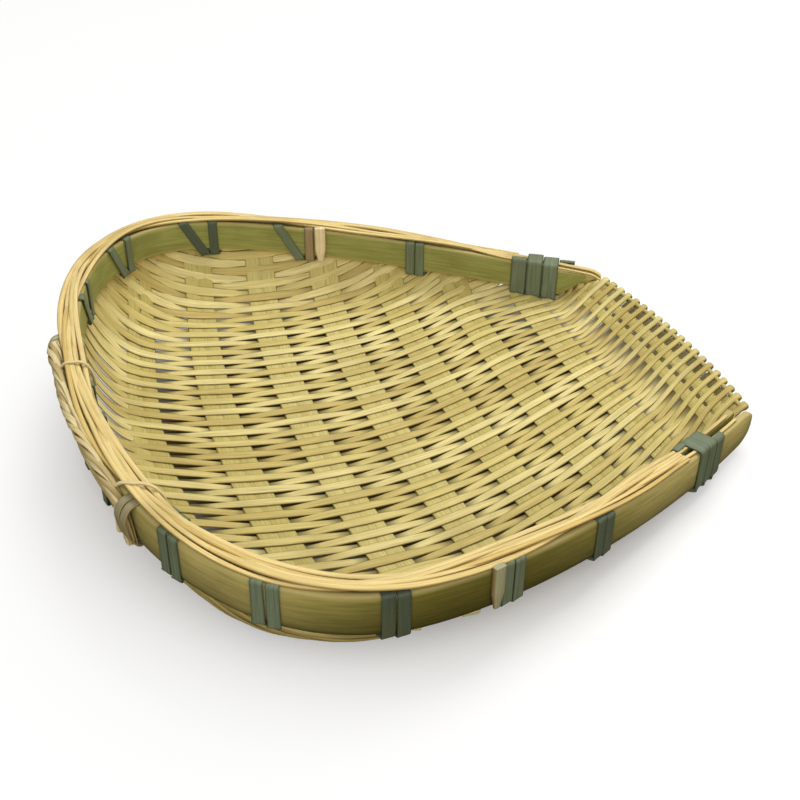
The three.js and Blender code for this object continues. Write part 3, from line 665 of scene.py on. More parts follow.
def peg_material(settings):
    # Whittled bamboo: pale and dry on one peg, weathered grey on the other, with browned edges.
    tones = [settings.peg, linear("#a5a07a")]
    edge = linear("#8f7648")
    return bamboo_material("whittled bamboo", tones, edge, (edge, edge),
                           line_count=2.5, roughness=0.6, bump=0.5, stain_share=0.4)


def fibre_material(settings):
    # Twisted plant fibre: matte, with light and dark fibres side by side.
    fibre = settings.fibre
    dark = settings.fibre_dark
    tones = [linear("#5d4724"), dark, fibre, linear("#e6d6a4"), fibre]
    return bamboo_material("twisted plant fibre", tones, dark, (dark, dark),
                           line_count=3.0, roughness=0.7, bump=0.8, stain_share=0.4)


def tie_material(settings):
    # Flattened plant fibre: matte grey brown, darker along its edges.
    dark = settings.fibre_dark
    tones = [linear("#6f6038"), linear("#b8b08c")]
    return bamboo_material("plant fibre tie", tones, dark, (dark, dark),
                           line_count=3.0, roughness=0.65, bump=0.6, stain_share=0.4)


def weave_rows():
    """Rows from the lip to the back, with the way across each of them measured along the mat."""
    fine_from = 296
    rows = np.concatenate([np.arange(0, fine_from, 0.8), np.arange(fine_from, RIM_DEPTH - 0.1, 0.1)])
    shares = 1 - (1 - np.linspace(0, 1, 140)) ** 2
    x = shares[None, :] * half_width(rows)[:, None]
    points = mat_point(np.broadcast_to(rows[:, None], x.shape), x)
    steps = np.linalg.norm(np.diff(points, axis=1), axis=2)
    return rows, x, np.concatenate([np.zeros((len(rows), 1)), np.cumsum(steps, axis=1)], axis=1)


def pair_row(pair, share):
    """Row of the middle of a pair of splints; pair 0 is the one in the lip."""
    if pair == 0:
        return LIP_PAIR_SETBACK + 0 * share
    middle = SPLINT_FIRST + SPLINT_SPACING * (pair - 1)
    return middle - SPLINT_BOW * middle / RIM_DEPTH * share ** 2


def weave_phase(row, share):
    """Number of pairs passed, with the part of the way to the next."""
    centres = [pair_row(pair, share) for pair in range(SPLINT_PAIRS + 1)]
    phase = 0 * row
    for pair in range(SPLINT_PAIRS):
        phase = phase + np.clip((row - centres[pair]) / (centres[pair + 1] - centres[pair]), 0, 1)
    return phase + np.clip((row - centres[-1]) / SPLINT_SPACING, 0, None)


def strand_pitch(row, settings):
    """Distance from strand to strand, which grows from the lip to the back."""
    spread = 0.7 * rise(row, 0, 90) + 0.3 * rise(row, 90, 190)
    return (settings.lip_pitch + (settings.back_pitch - settings.lip_pitch) * spread) / MM


def strand_lean(row):
    """Sideways run of the strands for each step towards the back: they bend in one arc across the pan."""
    arc = -0.43 + 0.6 * rise(row, 75, 185) + 0.3 * rise(row, 220, 80)
    return arc * rise(row, 0, 16)


def strand_line(number, rows, x, climb, settings, dice):
    """Points, upward directions and girth of one strand: half width, half thickness and painted shade where
    it dives under a splint.
    """
    share = edge_share(x, rows)
    free = 1 - rise(share, 0.88, 0.1)
    wall = rise(share, 0.68, 0.2)
    near_lip = 1 - rise(rows, 10, 26)
    # Over one pair of splints and under the next; neighbours go the other way.
    phase = np.pi * weave_phase(rows, share)
    way = -1 if number % 2 else 1
    wave = way * ((1 + WAVE_FLATNESS) * np.cos(phase) - WAVE_FLATNESS * np.cos(3 * phase))
    calm = (0.4 + 0.6 * free) * (0.6 + 0.4 * rise(rows, 14, 25))
    height = settings.lift / MM * free + settings.wave_height / MM * wave * calm
    drift = STRAND_DRIFT * np.sin(rows / dice.uniform(17, 31) + dice.uniform(0, 6))
    drift = drift + dice.uniform(-STRAND_DRIFT, STRAND_DRIFT)
    upward = np.where(climb[:, None] > 0, rim_inward(rows, x), mat_upward(rows, x))
    points = mat_point(rows, x + drift * free) + upward * height[:, None]
    points[:, 2] += climb
    # Wider over a pair and on the wall, narrower where it dives.
    pitch = strand_pitch(rows, settings) / np.sqrt(1 + strand_lean(rows) ** 2)
    crest = np.clip(wave, 0, 1) ** 2
    dive = np.clip((-wave - 0.2) / 0.6, 0, 1)
    pinch = DIVE_PINCH * dive * (1 - 0.7 * wall)
    shape = 1.01 + 0.05 * wave ** 2 + (CREST_SWELL * crest - pinch) * (1 - near_lip) + WALL_SWELL * wall
    half = pitch / 2 * dice.uniform(0.98, 1.03) * (shape + LIP_SWELL * near_lip * (number % 2))
    thick = settings.strand_thickness / MM / 2 * (2 - rise(rows, 6, 20))
    # Painted shade on the strand where it dives under a splint, fading as it rises out.
    dive_shade = np.clip((-wave - 0.4) / 0.5, 0, 1) * free * (1 - 0.6 * wall)
    return points, upward, np.stack([half, thick, dive_shade], -1)


def longest_run(kept):
    """The same marks with only the longest unbroken run of them left."""
    edges = np.flatnonzero(np.diff(np.concatenate([[0], kept.astype(int), [0]])))
    starts = edges[::2]
    ends = edges[1::2]
    marks = np.zeros(len(kept), bool)
    if len(starts):
        best = np.argmax(ends - starts)
        marks[starts[best]:ends[best]] = True
    return marks


def collar_point(point):
    """Point up between the hoops, above a place on the mat's edge, with its direction into the pan."""
    place = nearest_place(point[:1], point[1:2])
    return beside_rim(place, np.zeros(1), np.array([COLLAR_TOP])), -outward_at(place)


def collared(points, upward, girth, from_lip):
    """The same strand with its ends led up between the hoops; an end at the lip stays as it is."""
    top, top_facing = collar_point(points[-1])
    points = np.concatenate([points, top])
    upward = np.concatenate([upward, top_facing])
    girth = np.concatenate([girth, girth[-1:]])
    if not from_lip:
        start, start_facing = collar_point(points[0])
        points = np.concatenate([start, points])
        upward = np.concatenate([start_facing, upward])
        girth = np.concatenate([girth[:1], girth])
    return points, upward, girth, from_lip


def strand_lines(settings, dice):
    """Points, upward directions and girth of each strand by its number, and whether it starts at the lip."""
    rows, x_table, way_table = weave_rows()
    lean = strand_lean(rows)
    shift = np.concatenate([[0], np.cumsum((lean[1:] + lean[:-1]) / 2 * np.diff(rows))])
    numbers = np.arange(FIRST_STRAND, LAST_STRAND + 1)
    signed = (numbers[None, :] + 0.5) * strand_pitch(rows, settings)[:, None] + shift[:, None]
    ways = np.abs(signed)
    places = np.sign(signed) * np.stack([np.interp(w, t, x) for w, t, x in zip(ways, way_table, x_table)])
    climbs = np.clip(ways - way_table[:, -1:], 0, None)
    climb_limit = np.where(rows < 2 * LIP_MARGIN, LIP_CLIMB, COLLAR_CLIMB)
    lines = {}
    for column, number in enumerate(numbers):
        kept = longest_run(climbs[:, column] < climb_limit)
        if kept.sum() < LEAST_STRAND_ROWS:
            continue
        line = strand_line(number, rows[kept], places[kept, column], climbs[kept, column], settings, dice)
        lines[number] = collared(*line, bool(kept[0]))
    return lines


def strand_strip(points, facing, girth, step, dice):
    """Strip of one strand at even steps, with a tone of its own."""
    points, facing, girth = resampled(points, (facing, girth), step)
    return strip(points, facing, girth[:, 0], girth[:, 1], dice.random(), girth[:, 2])


def lip_turn(upper, lower, thick):
    """Points and facings of a strand's turn round the lip rod, from the upper end to the lower one."""
    count = 9
    radius = 1.3 + thick
    angle = np.radians(np.linspace(80, -80, count))
    x = upper[0] + (lower[0] - upper[0]) * np.linspace(0, 1, count)
    middle_y = min(upper[1], lower[1]) - 1.2
    middle_z = (upper[2] + lower[2]) / 2
    facing = np.stack([0 * angle, -np.cos(angle), np.sin(angle)], -1)
    points = np.stack([x, np.full(count, middle_y), np.full(count, middle_z)], -1) + facing * radius
    return points, facing


def stray_ends(thick, dice):
    """Short ends of strands that stick out under the left hoop."""
    count = 6
    ends = []
    for from_front in STRAY_ENDS:
        place = RIM_LENGTH - from_front + np.linspace(0, dice.uniform(5, 9), count)
        drop = np.linspace(0, dice.uniform(-2.5, 0.5), count)
        points = beside_rim(place, 1.5 + drop * 0.3, STRAY_END_DROP - dice.uniform(0, 2) + drop)
        ends.append(strip(points, outward_at(place), dice.uniform(0.9, 1.4), thick * 0.8, 0.5))
    return ends


class BASKET_OT_weave(bpy.types.Operator):
    """Lengthwise strands that pass over and under the splints and turn round the lip rod in pairs."""
    bl_idname = "basket.weave"
    bl_label = "Weave strands"

    def execute(self, context):
        settings = context.scene.basket_weave
        dice = random.Random(settings.seed)
        lines = strand_lines(settings, dice)
        strips = []
        for points, upward, girth, from_lip in lines.values():
            if not from_lip:
                strips.append(strand_strip(points, upward, girth, SIDE_STRAND_STEP, dice))
        for number, (points, upward, girth, from_lip) in lines.items():
            if not from_lip or number % 2 or number + 1 not in lines:
                continue
            under, under_upward, under_girth, _ = lines[number + 1]
            turn, turn_facing = lip_turn(points[0], under[0], girth[0, 1])
            whole = np.concatenate([points[::-1], turn, under])
            facing = np.concatenate([upward[::-1], turn_facing, -under_upward])
            girth = np.concatenate([girth[::-1], np.repeat(girth[:1], len(turn), 0), under_girth])
            strips.append(strand_strip(whole, facing, girth, LIP_STRAND_STEP, dice))
        strips += stray_ends(settings.strand_thickness / MM / 2, dice)
        swept_piece("woven_strands", strips, strand_material(settings), ["woven_mat"],
                    sides=8, squareness=0.95)
        return {"FINISHED"}


def splint_shares(reach):
    """Shares of the way across the pan, closer together near both edges."""
    outer = np.linspace(0.8, reach, 50)
    middle = np.linspace(-0.8, 0.8, 120)[1:-1]
    return np.concatenate([-outer[::-1], middle, outer])


class BASKET_OT_splints(bpy.types.Operator):
    """Pairs of flat splints across the mat, and the pair in the lip."""
    bl_idname = "basket.splints"
    bl_label = "Cross splints"

    def execute(self, context):
        settings = context.scene.basket_weave
        dice = random.Random(settings.seed + 1)
        thick = settings.splint_thickness / MM / 2
        lift = settings.lift / MM + 0.15
        material = splint_material(settings)
        for pair in range(SPLINT_PAIRS + 1):
            in_lip = pair == 0
            half = (settings.lip_splint_width if in_lip else settings.splint_width) / MM / 2
            share = splint_shares(LIP_PAIR_REACH if in_lip else SPLINT_REACH)
            strips = []
            for side in (-1, 1):
                row = pair_row(pair, np.abs(share)) + side * (half - SEAM_LAP)
                row = np.minimum(row, RIM_DEPTH - 1.5)
                x = share * half_width(row)
                upward = mat_upward(row, x)
                free = 1 - rise(edge_share(x, row), 0.93, 0.07)
                points = mat_point(row, x) + upward * (lift * free)[:, None]
                points, upward = resampled(points, (upward,), SPLINT_STEP)
                strips.append(strip(points, upward, half, thick, dice.random()))
            name = "lip_splints" if in_lip else f"cross_splints_{pair}"
            node = "lip_splint" if in_lip else f"cross_splint_{pair}"
            swept_piece(name, strips, material, [node + "_front", node + "_back"],
                        sides=8, squareness=0.5)
        return {"FINISHED"}


class BASKET_OT_lip_rod(bpy.types.Operator):
    """Thin rod that the strands turn round at the lip."""
    bl_idname = "basket.lip_rod"
    bl_label = "Lip rod"

    def execute(self, context):
        settings = context.scene.basket_weave
        x = np.linspace(-LIP_ROD_REACH, LIP_ROD_REACH, 60) * MOUTH_WIDTH / 2
        points = mat_point(np.zeros(len(x)), x) + np.array([0, -0.6, settings.lift / MM + 0.6])
        facing = np.broadcast_to(UPWARD, points.shape)
        rod = strip(points, facing, LIP_ROD_RADIUS, LIP_ROD_RADIUS, 0.3)
        swept_piece("lip_rod", [rod], splint_material(settings), ["lip_core"],
                    sides=8, squareness=1.0)
        return {"FINISHED"}


def outer_band():
    """Strip of the outer hoop, with rounded front ends, an uneven thickness and tones round the pan."""
    place = np.linspace(-OUTER_HOOP_OVERRUN, RIM_LENGTH + OUTER_HOOP_OVERRUN, 460)
    from_end = np.minimum(place, RIM_LENGTH - place) + OUTER_HOOP_OVERRUN
    bottom_lift = 9 * fade(from_end, 12) ** 2
    top_drop = 3.5 * fade(from_end, 5) ** 2
    height = OUTER_HOOP_HEIGHT - 2.6 * fade(from_end, 60) - bottom_lift - top_drop
    waver = 0.25 * np.sin(place / 37) + 0.2 * np.sin(place / 13.7)
    thick = (OUTER_FACE - HOOP_FACE) / 2 * (1 - 0.25 * fade(from_end, 4) ** 2) + 0.15 * waver
    middle = np.full(len(place), (HOOP_FACE + OUTER_FACE) / 2)
    points = beside_rim(place, middle, -top_drop - height / 2)
    # Pale at the front ends, darkest towards the back of the sides, lighter again round the back.
    tone = 0.05 + 0.9 * rise(from_end, 70, 130) - 0.74 * rise(from_end, 225, 80)
    return strip(points, outward_at(np.clip(place, 0, RIM_LENGTH)), height / 2, thick, tone)


def inner_band():
    """Strip of the inner hoop, with front ends cut on a slant and a lower edge that clears the lip."""
    place = np.linspace(INNER_HOOP_SETBACK, RIM_LENGTH - INNER_HOOP_SETBACK, 450)
    y = beside_rim(place, 0 * place, 0 * place)[:, 1]
    lowest = floor_line(y) + INNER_HOOP_CLEARANCE - rim_top(y)
    from_end = np.minimum(place, RIM_LENGTH - place) - INNER_HOOP_SETBACK
    slant = -3.0 - 14 * np.clip(from_end / 16, 0, 1)
    bottom = np.maximum(np.maximum(-INNER_HOOP_HEIGHT, lowest), slant)
    points = beside_rim(place, np.full(len(place), -(HOOP_FACE + INNER_FACE) / 2), bottom / 2)
    return strip(points, -outward_at(place), -bottom / 2, (INNER_FACE - HOOP_FACE) / 2, 0.6)


class BASKET_OT_hoops(bpy.types.Operator):
    """Outer and inner bamboo hoops, with rounded and slanted front ends."""
    bl_idname = "basket.hoops"
    bl_label = "Hoops"

    def execute(self, context):
        settings = context.scene.basket_rim
        swept_piece("outer_hoop_band", [outer_band()], outer_hoop_material(settings),
                    ["outer_hoop"], sides=20, squareness=0.35)
        swept_piece("inner_hoop_band", [inner_band()], inner_hoop_material(settings),
                    ["inner_hoop"], sides=20, squareness=0.35)
        return {"FINISHED"}


def filler_strand(number, settings, dice):
    """One filler strand: plaited round its neighbours, and laid flat beside them towards the front."""
    right_end = FRONT_LASHING[0] + FILLER_TUCK
    left_end = FRONT_LASHING[1] + FILLER_TUCK
    start = -FILLER_OVERRUN if number in FILLERS_TO_RIGHT_CORNER else right_end
    end = RIM_LENGTH - (FILLER_LEFT_SETBACK if number in FILLERS_TO_LEFT_CORNER else left_end)
    place = np.linspace(start, end, 420)
    side = 1 if number % 2 else -1
    angle = 2 * np.pi * (place / (settings.plait_length / MM) + number // 2 / 3)
    free = rise(np.minimum(place, RIM_LENGTH - place), 55, 50)
    plaited = 2.8 * np.sin(angle) + side * 1.25 + 0.4 * np.sin(place / 23 + number * 2.1)
    flat = (number - (FILLER_STRANDS - 1) / 2) * 1.6
    out = RIM_MIDDLE + plaited * free + flat * (1 - free)
    up = 0.85 + (1.4 + 0.9 * np.sin(2 * angle) + 0.2 * np.sin(place / 31 + number)) * free
    points = beside_rim(place, out, up - 2.5 * fade(place + FILLER_OVERRUN, 7) ** 2)
    half = settings.strand_width / MM / 2 * dice.uniform(0.8, 1.15) * (0.65 + 0.35 * free)
    thick = settings.strand_thickness / MM / 2 * (0.75 + 0.25 * free)
    return strip(points, np.broadcast_to(UPWARD, points.shape), half, thick, dice.random())


class BASKET_OT_rim_strands(bpy.types.Operator):
    """Thin filler strands plaited along the top of the rim."""
    bl_idname = "basket.rim_strands"
    bl_label = "Rim strands"

    def execute(self, context):
        settings = context.scene.basket_rim
        dice = random.Random(11)
        strips = [filler_strand(number, settings, dice) for number in range(FILLER_STRANDS)]
        nodes = [f"rim_strand_{number}" for number in range(1, FILLER_STRANDS + 1)]
        swept_piece("rim_filler_strands", strips, filler_material(settings), nodes,
                    sides=8, squareness=0.8)
        return {"FINISHED"}


def winding_stops(width, turns, diagonal, hand, outer=("low_out", "top_out")):
    """Places along the rim and corners of its section that a wound strip passes."""
    pitch = width + STRIP_CLEARANCE
    first = -pitch * (turns + 1) / 2
    stops = [(first - diagonal, "tuck_in"), (first - diagonal, "top_in")]
    for turn in range(turns):
        inside = first + turn * pitch
        if turn:
            stops.append((inside, "top_in"))
        stops.append((inside, "low_in"))
        stops += [(inside + pitch, corner) for corner in outer]
    stops.append((first + turns * pitch, "tuck_out"))
    return [(along * hand, corner) for along, corner in stops]


def rounded_route(stops, corners, reach):
    """Points along a strip's way through its stops, with corners rounded over a number of steps."""
    route = np.array([(along, *corners[corner]) for along, corner in stops])
    lengths = lengths_along(route)
    fine = np.linspace(0, lengths[-1], int(lengths[-1] / ROUTE_STEP))
    route = columns_at(fine, lengths, route)
    kernel = np.hanning(2 * reach + 1)
    kernel = kernel / kernel.sum()
    padded = np.pad(route, ((reach, reach), (0, 0)), mode="edge")
    return np.stack([np.convolve(padded[:, i], kernel, mode="valid") for i in range(3)], -1)[::2]


def winding(place, stops, width, thick, top, bulge, shade, later):
    """Strip wound round the rim, with a rise over the fillers, a bulge over the grip and a later tone."""
    face = STRIP_CLEARANCE + thick
    corners = {
        "tuck_in": (RIM_MIDDLE - 2, face + top),
        "top_in": (-INNER_FACE - face, face + top),
        "low_in": (-INNER_FACE - face, -EDGE_DROP - face),
        "low_out": (OUTER_FACE + face, -EDGE_DROP - face),
        "grip_low": (OUTER_FACE + face + 0.7 * bulge, -15.0),
        "grip_out": (OUTER_FACE + face + bulge, -5.0),
        "grip_top": (OUTER_FACE + 0.5 * bulge, face + top - 0.6),
        "top_out": (OUTER_FACE + face, face + top),
        "tuck_out": (RIM_MIDDLE + 2, face + top),
    }
    route = rounded_route(stops, corners, 11 if bulge else (8 if top else 4))
    points = beside_rim(place + route[:, 0], route[:, 1], route[:, 2])
    heading = np.gradient(route[:, 1:], axis=0)
    square = unit(np.stack([heading[:, 1], -heading[:, 0]], -1))
    away = route[:, 1:] - np.array([RIM_MIDDLE, -EDGE_DROP / 2])
    square *= np.where(np.sum(square * away, axis=1) < 0, -1, 1)[:, None]
    facing = outward_at(place + route[:, 0]) * square[:, :1]
    facing[:, 2] = square[:, 1]
    tone = shade + (later - shade) * rise(np.linspace(0, 1, len(points)), 0.45, 0.1)
    return strip(points, facing, width / 2, thick, tone)


def both_sides(right, left):
    """Name, place and hand of a piece on each side, from its distances to the two front corners."""
    return (("right", right, -1), ("left", RIM_LENGTH - left, 1))


def wound_strips():
    """Name, place, stops, width and rise over the fillers of each lashing."""
    for side, place, hand in both_sides(*FRONT_LASHING):
        width = FRONT_STRIP_WIDTHS[side]
        stops = winding_stops(width, FRONT_TURNS, 0, hand)
        yield f"front_lashing_{side}", place, stops, width, FRONT_STRIP_RISE
    for number, (right, left, diagonal) in enumerate(SIDE_LASHINGS, 1):
        for side, place, hand in both_sides(right, left):
            slant = diagonal if side == "right" else 0
            stops = winding_stops(SIDE_STRIP_WIDTH, SIDE_TURNS, slant, hand)
            yield f"side_lashing_{number}_{side}", place, stops, SIDE_STRIP_WIDTH, 0
    for number, from_middle in enumerate(BACK_LASHINGS, 1):
        stops = winding_stops(BACK_STRIP_WIDTH, 1, 0, 1)
        yield f"back_lashing_{number}", RIM_LENGTH / 2 + from_middle, stops, BACK_STRIP_WIDTH, 0


class BASKET_OT_lashings(bpy.types.Operator):
    """Strips of bamboo skin wound round the rim at the front, the sides and the back."""
    bl_idname = "basket.lashings"
    bl_label = "Lashings"

    def execute(self, context):
        settings = context.scene.basket_lashing
        thick = settings.strip_thickness / MM / 2
        material = skin_material(settings)
        dice = random.Random(5)
        for name, place, stops, width, top in wound_strips():
            drawn = 0.75 * dice.random()
            # Painted shade: the darkest tone for one lashing on the left side.
            tone = 0.0 if name == SHADE_PAINTED_LASHING else drawn
            later = 1.0 if name == BROWNED_LASHING else tone
            made = winding(place, stops, width, thick, top, 0, tone, later)
            swept_piece(name + "_strip", [made], material, [name],
                        sides=12, squareness=0.5)
        return {"FINISHED"}


class BASKET_OT_pegs(bpy.types.Operator):
    """Whittled pegs beside one lashing on each side."""
    bl_idname = "basket.pegs"
    bl_label = "Pegs"

    def execute(self, context):
        material = peg_material(context.scene.basket_lashing)
        share = np.linspace(0, 1, 24)
        tip = np.clip((share - PEG_TIP_SHARE) / (1 - PEG_TIP_SHARE), 0, 1)
        up = PEG_TOP + (PEG_FOOT - PEG_TOP) * share
        thick = PEG_HALF_THICKNESS * (1 - 0.55 * tip)
        for side, (out, half, shift, tone) in PEGS.items():
            low, high = (np.array(corner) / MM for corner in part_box(f"peg_{side}"))
            middle = (low + high) / 2 - pan_shift() / MM
            place = np.full(len(share), nearest_place(middle[:1], middle[1:2])[0] + shift)
            points = beside_rim(place, np.full(len(share), out), up)
            facing = outward_at(place) * np.sign(out)
            made = strip(points, facing, half * (1 - 0.5 * tip), thick, tone)
            swept_piece(f"peg_{side}_whittled", [made], material, [f"peg_{side}"],
                        sides=12, squareness=0.45)
        return {"FINISHED"}


def grip_fibres(dice):
    """Fibres twisted along the back; at the left end the bundle folds down over the outer hoop."""
    along = np.linspace(0, 2 * GRIP_HALF_SPAN - 3, 170)
    fold = np.clip((along - 122) / 15, 0, 1)
    dip = fade(along, 14) ** 2
    knob = 0.7 * np.exp(-((along - 19) / 6) ** 2)
    middle = RIM_LENGTH / 2 + GRIP_SHIFT + along - 7.5 * fold ** 2 - GRIP_HALF_SPAN
    outward = outward_at(middle)
    fibres = []
    for number in range(GRIP_FIBRES):
        # One thick fibre in the middle, the others in a ring round it.
        ring = 2.3 if number else 0.0
        thick = 0.5 if number else 1.6
        angle = along / 17 + number * 2 * np.pi / (GRIP_FIBRES - 1) + 0.5 * np.sin(along / 9 + number)
        slack = ring + 0.5 * np.sin(along / 11 + number * 1.7)
        loose = slack * (0.5 + 0.5 * rise(along, 0, 14)) + knob
        place = middle + 0.95 * (number - 4.5) * fold
        out = OUTER_FACE + 1.9 + 0.5 * np.sin(along / 19) + loose * np.cos(angle) * (1 - 0.5 * fold)
        up = -1.2 - 18.5 * fold ** 2 - 6 * dip + 1.15 * loose * np.sin(angle) * (1 - 0.6 * fold)
        facing = outward * (np.cos(angle) * (1 - fold) + fold)[:, None]
        facing[:, 2] = np.sin(angle) * (1 - fold)
        half = dice.uniform(1.0, 1.5) * (1 + 0.3 * fold)
        tone = 0.35 + 0.65 * dice.random() - (0.35 * fold if number > 10 else 0)
        fibres.append(strip(beside_rim(place, out, up), facing, half, thick, tone))
    return fibres


def twine_loop(place, slant):
    """Thin twine over the filler strands, from the outer hoop to the inner one further along the rim."""
    bend = np.linspace(-1, 1, 40)
    over = np.sqrt(np.clip(1 - np.abs(bend) ** 3, 0, 1))
    out = RIM_MIDDLE + 7.4 * np.sign(bend) * np.abs(bend) ** 0.8
    points = beside_rim(place - slant / 2 * bend, out, -8 + 12.4 * over)
    facing = outward_at(np.full(len(bend), place)) * bend[:, None]
    facing[:, 2] = over
    return strip(points, facing, 0.9, 0.7, 0.6)


class BASKET_OT_grip(bpy.types.Operator):
    """Twisted fibre grip outside the back, with its ties and the twines over the rim."""
    bl_idname = "basket.grip"
    bl_label = "Grip and ties"

    def execute(self, context):
        settings = context.scene.basket_lashing
        fibre = fibre_material(settings)
        swept_piece("back_grip_fibres", grip_fibres(random.Random(3)), fibre, ["back_grip"],
                    sides=8, squareness=0.8)
        tied = tie_material(settings)
        thick = settings.strip_thickness / MM / 2
        from_right = RIM_LENGTH / 2 + GRIP_SHIFT - GRIP_HALF_SPAN
        from_left = RIM_LENGTH / 2 - GRIP_SHIFT - GRIP_HALF_SPAN
        route = ("low_out", "grip_low", "grip_out", "grip_top")
        for side, place, hand in both_sides(from_right + TIE_INSET, from_left + TIE_INSET):
            stops = winding_stops(TIE_STRIP_WIDTH, TIE_TURNS, 0, hand, route)
            tone = TIE_TONES[side]
            made = winding(place, stops, TIE_STRIP_WIDTH, thick, 0, TIE_BULGE, tone, tone)
            swept_piece(f"grip_tie_{side}_strip", [made], tied, [f"grip_tie_{side}"],
                        sides=12, squareness=0.5)
        for side, place, _ in both_sides(from_right + TWINE_INSETS[0], from_left + TWINE_INSETS[1]):
            loop = twine_loop(place, TWINE_SLANTS[side])
            swept_piece(f"rim_twine_{side}_loop", [loop], fibre, [f"rim_twine_{side}"],
                        sides=8, squareness=1.0)
        return {"FINISHED"}


def floor_material(settings):
    # Pale paper: white away from the pan and matte in its shadow. Painted shadow: dark brown under the pan,
    # seen through the weave's small openings, and dark brown over the whole floor for all rays but the
    # camera's, so little light bounces onto the pan.
    paper = bpy.data.materials.new("pale paper")
    paper.use_nodes = True
    tree = paper.node_tree
    tree.nodes.clear()
    seen = add(tree, "ShaderNodeLightPath").outputs["Is Camera Ray"]
    spot = add(tree, "ShaderNodeTexCoord").outputs["Object"]
    from_middle = add(tree, "ShaderNodeVectorMath", {0: spot}, operation="LENGTH")
    from_far_side = add(tree, "ShaderNodeVectorMath", {0: spot, 1: (0.03, 0.0, 0.0)}, operation="DISTANCE")
    far = add(tree, "ShaderNodeMapRange",
              {0: from_middle.outputs["Value"], 1: 0.11, 2: 0.22, 3: 0.0, 4: 0.88},
              interpolation_type="SMOOTHSTEP")
    half_seen = add(tree, "ShaderNodeMath", {0: seen, 1: far}, operation="MULTIPLY")
    shade = add(tree, "ShaderNodeMapRange",
                {0: from_far_side.outputs["Value"], 1: 0.125, 2: 0.16, 3: 0.0, 4: seen})
    # Painted shadow colour: under the pan for the camera, and everywhere for bounced light.
    paint = add(tree, "ShaderNodeMix",
                {0: shade, 6: linear("#5c4f2a"), 7: settings.floor}, data_type="RGBA")
    matte = add(tree, "ShaderNodeBsdfDiffuse", {"Color": paint.outputs[2]})
    white = add(tree, "ShaderNodeEmission", {"Color": (1, 1, 1, 1), "Strength": 1.0})
    mixed = add(tree, "ShaderNodeMixShader", {0: half_seen, 1: matte, 2: white})
    add(tree, "ShaderNodeOutputMaterial", {0: mixed})
    return paper


def studio_floor(settings):
    """Wide flat floor under the pan."""
    mesh = bpy.data.meshes.new("floor")
    signs = ((-1, -1), (1, -1), (1, 1), (-1, 1))
    mesh.from_pydata([(x * FLOOR_HALF, y * FLOOR_HALF, 0) for x, y in signs], [], [(0, 1, 2, 3)])
    mesh.materials.append(floor_material(settings))
    return bpy.data.objects.new("floor", mesh)


def studio_world():
    """White surroundings that light the pan at half of the strength that the camera sees."""
    world = bpy.data.worlds.new("studio")
    world.use_nodes = True
    tree = world.node_tree
    tree.nodes.clear()
    seen = add(tree, "ShaderNodeLightPath").outputs["Is Camera Ray"]
    strength = add(tree, "ShaderNodeMapRange", {0: seen, 1: 0.0, 2: 1.0, 3: 0.5, 4: 1.0})
    sky = add(tree, "ShaderNodeBackground", {"Color": (1, 1, 1, 1), "Strength": strength})
    add(tree, "ShaderNodeOutputWorld", {0: sky})
    return world


def studio_lamp(name, place, size, watts):
    """Square soft lamp that looks at the pan."""
    light = bpy.data.lights.new(name, "AREA")
    light.size = size
    light.energy = watts
    lamp = bpy.data.objects.new(name, light)
    lamp.location = place
    lamp.rotation_euler = (Vector(LAMP_TARGET) - Vector(place)).to_track_quat("-Z", "Y").to_euler()
    return lamp


def camera_matrix(settings):
    """Place and turn of the camera, which looks at the pan's middle from the left."""
    azimuth = settings.azimuth
    elevation = settings.elevation
    roll = settings.roll
    level = math.cos(elevation)
    right = Vector((math.cos(azimuth), math.sin(azimuth), 0))
    back = Vector((math.sin(azimuth) * level, -math.cos(azimuth) * level, math.sin(elevation)))
    up = back.cross(right)
    target = Vector(pan_shift()) + Vector(CAMERA_TARGET) + right * TARGET_TO_RIGHT - up * TARGET_DOWN
    place = target + back * settings.distance
    rolled_right = right * math.cos(roll) + up * math.sin(roll)
    rolled_up = up * math.cos(roll) - right * math.sin(roll)
    turn = Matrix((rolled_right, rolled_up, back)).transposed().to_4x4()
    return Matrix.Translation(place) @ turn


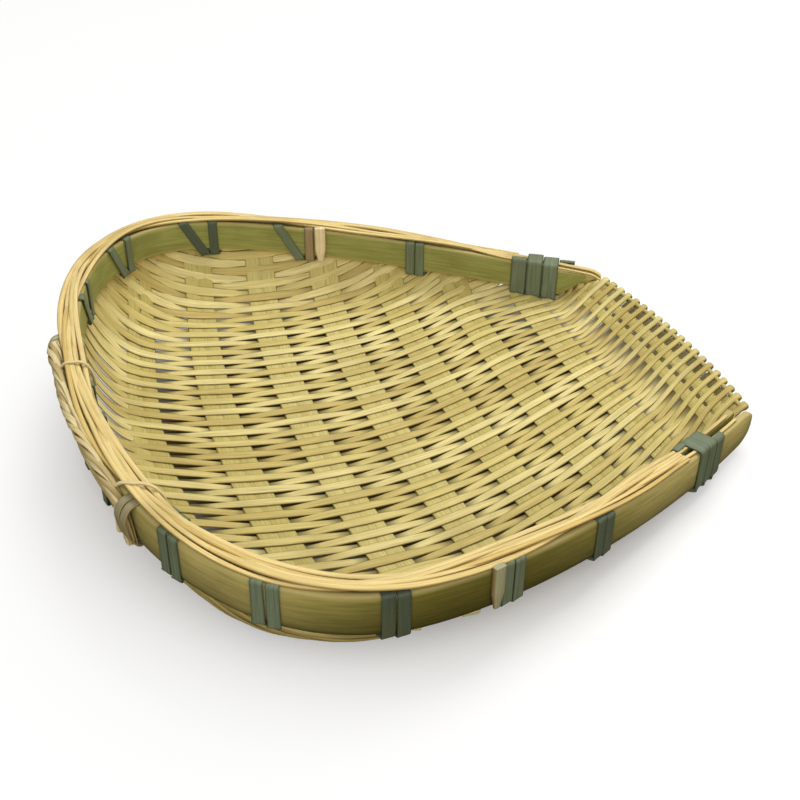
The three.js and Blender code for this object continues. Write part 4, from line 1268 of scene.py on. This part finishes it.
def studio_camera(settings):
    """Camera at the fitted place."""
    lens = bpy.data.cameras.new("camera")
    lens.lens = settings.lens
    lens.sensor_width = 36
    lens.clip_start = 0.01
    camera = bpy.data.objects.new("camera", lens)
    camera.matrix_world = camera_matrix(settings)
    return camera


class BASKET_OT_stage(bpy.types.Operator):
    """Pale floor, soft studio lamps and the camera."""
    bl_idname = "basket.stage"
    bl_label = "Stage"

    def execute(self, context):
        scene = context.scene
        settings = scene.basket_stage
        camera = studio_camera(settings)
        staged = [studio_floor(settings), *(studio_lamp(*lamp) for lamp in LAMPS), camera]
        for thing in staged:
            scene.collection.objects.link(thing)
        scene.camera = camera
        scene.world = studio_world()
        scene.view_settings.view_transform = "Standard"
        return {"FINISHED"}


class BASKET_PT_panel(bpy.types.Panel):
    """Sidebar panel that lists the steps of the basket."""
    bl_idname = "BASKET_PT_panel"
    bl_label = "Dustpan basket"
    bl_space_type = "VIEW_3D"
    bl_region_type = "UI"
    bl_category = "Basket"

    def draw(self, context):
        for operator in OPERATORS:
            self.layout.operator(operator.bl_idname)


SETTINGS = {
    "basket_weave": BasketWeaveSettings,
    "basket_rim": BasketRimSettings,
    "basket_lashing": BasketLashingSettings,
    "basket_stage": BasketStageSettings,
}
OPERATORS = (
    BASKET_OT_weave,
    BASKET_OT_splints,
    BASKET_OT_lip_rod,
    BASKET_OT_hoops,
    BASKET_OT_rim_strands,
    BASKET_OT_lashings,
    BASKET_OT_pegs,
    BASKET_OT_grip,
    BASKET_OT_stage,
)


def register():
    for kind in (*SETTINGS.values(), *OPERATORS, BASKET_PT_panel):
        bpy.utils.register_class(kind)
    for name, kind in SETTINGS.items():
        setattr(bpy.types.Scene, name, bpy.props.PointerProperty(type=kind))


def unregister():
    for name in SETTINGS:
        delattr(bpy.types.Scene, name)
    for kind in (BASKET_PT_panel, *reversed(OPERATORS), *reversed(SETTINGS.values())):
        bpy.utils.unregister_class(kind)


def main():
    register()
    for operator in OPERATORS:
        group, step = operator.bl_idname.split(".")
        getattr(getattr(bpy.ops, group), step)()


if __name__ == "__main__":
    main()
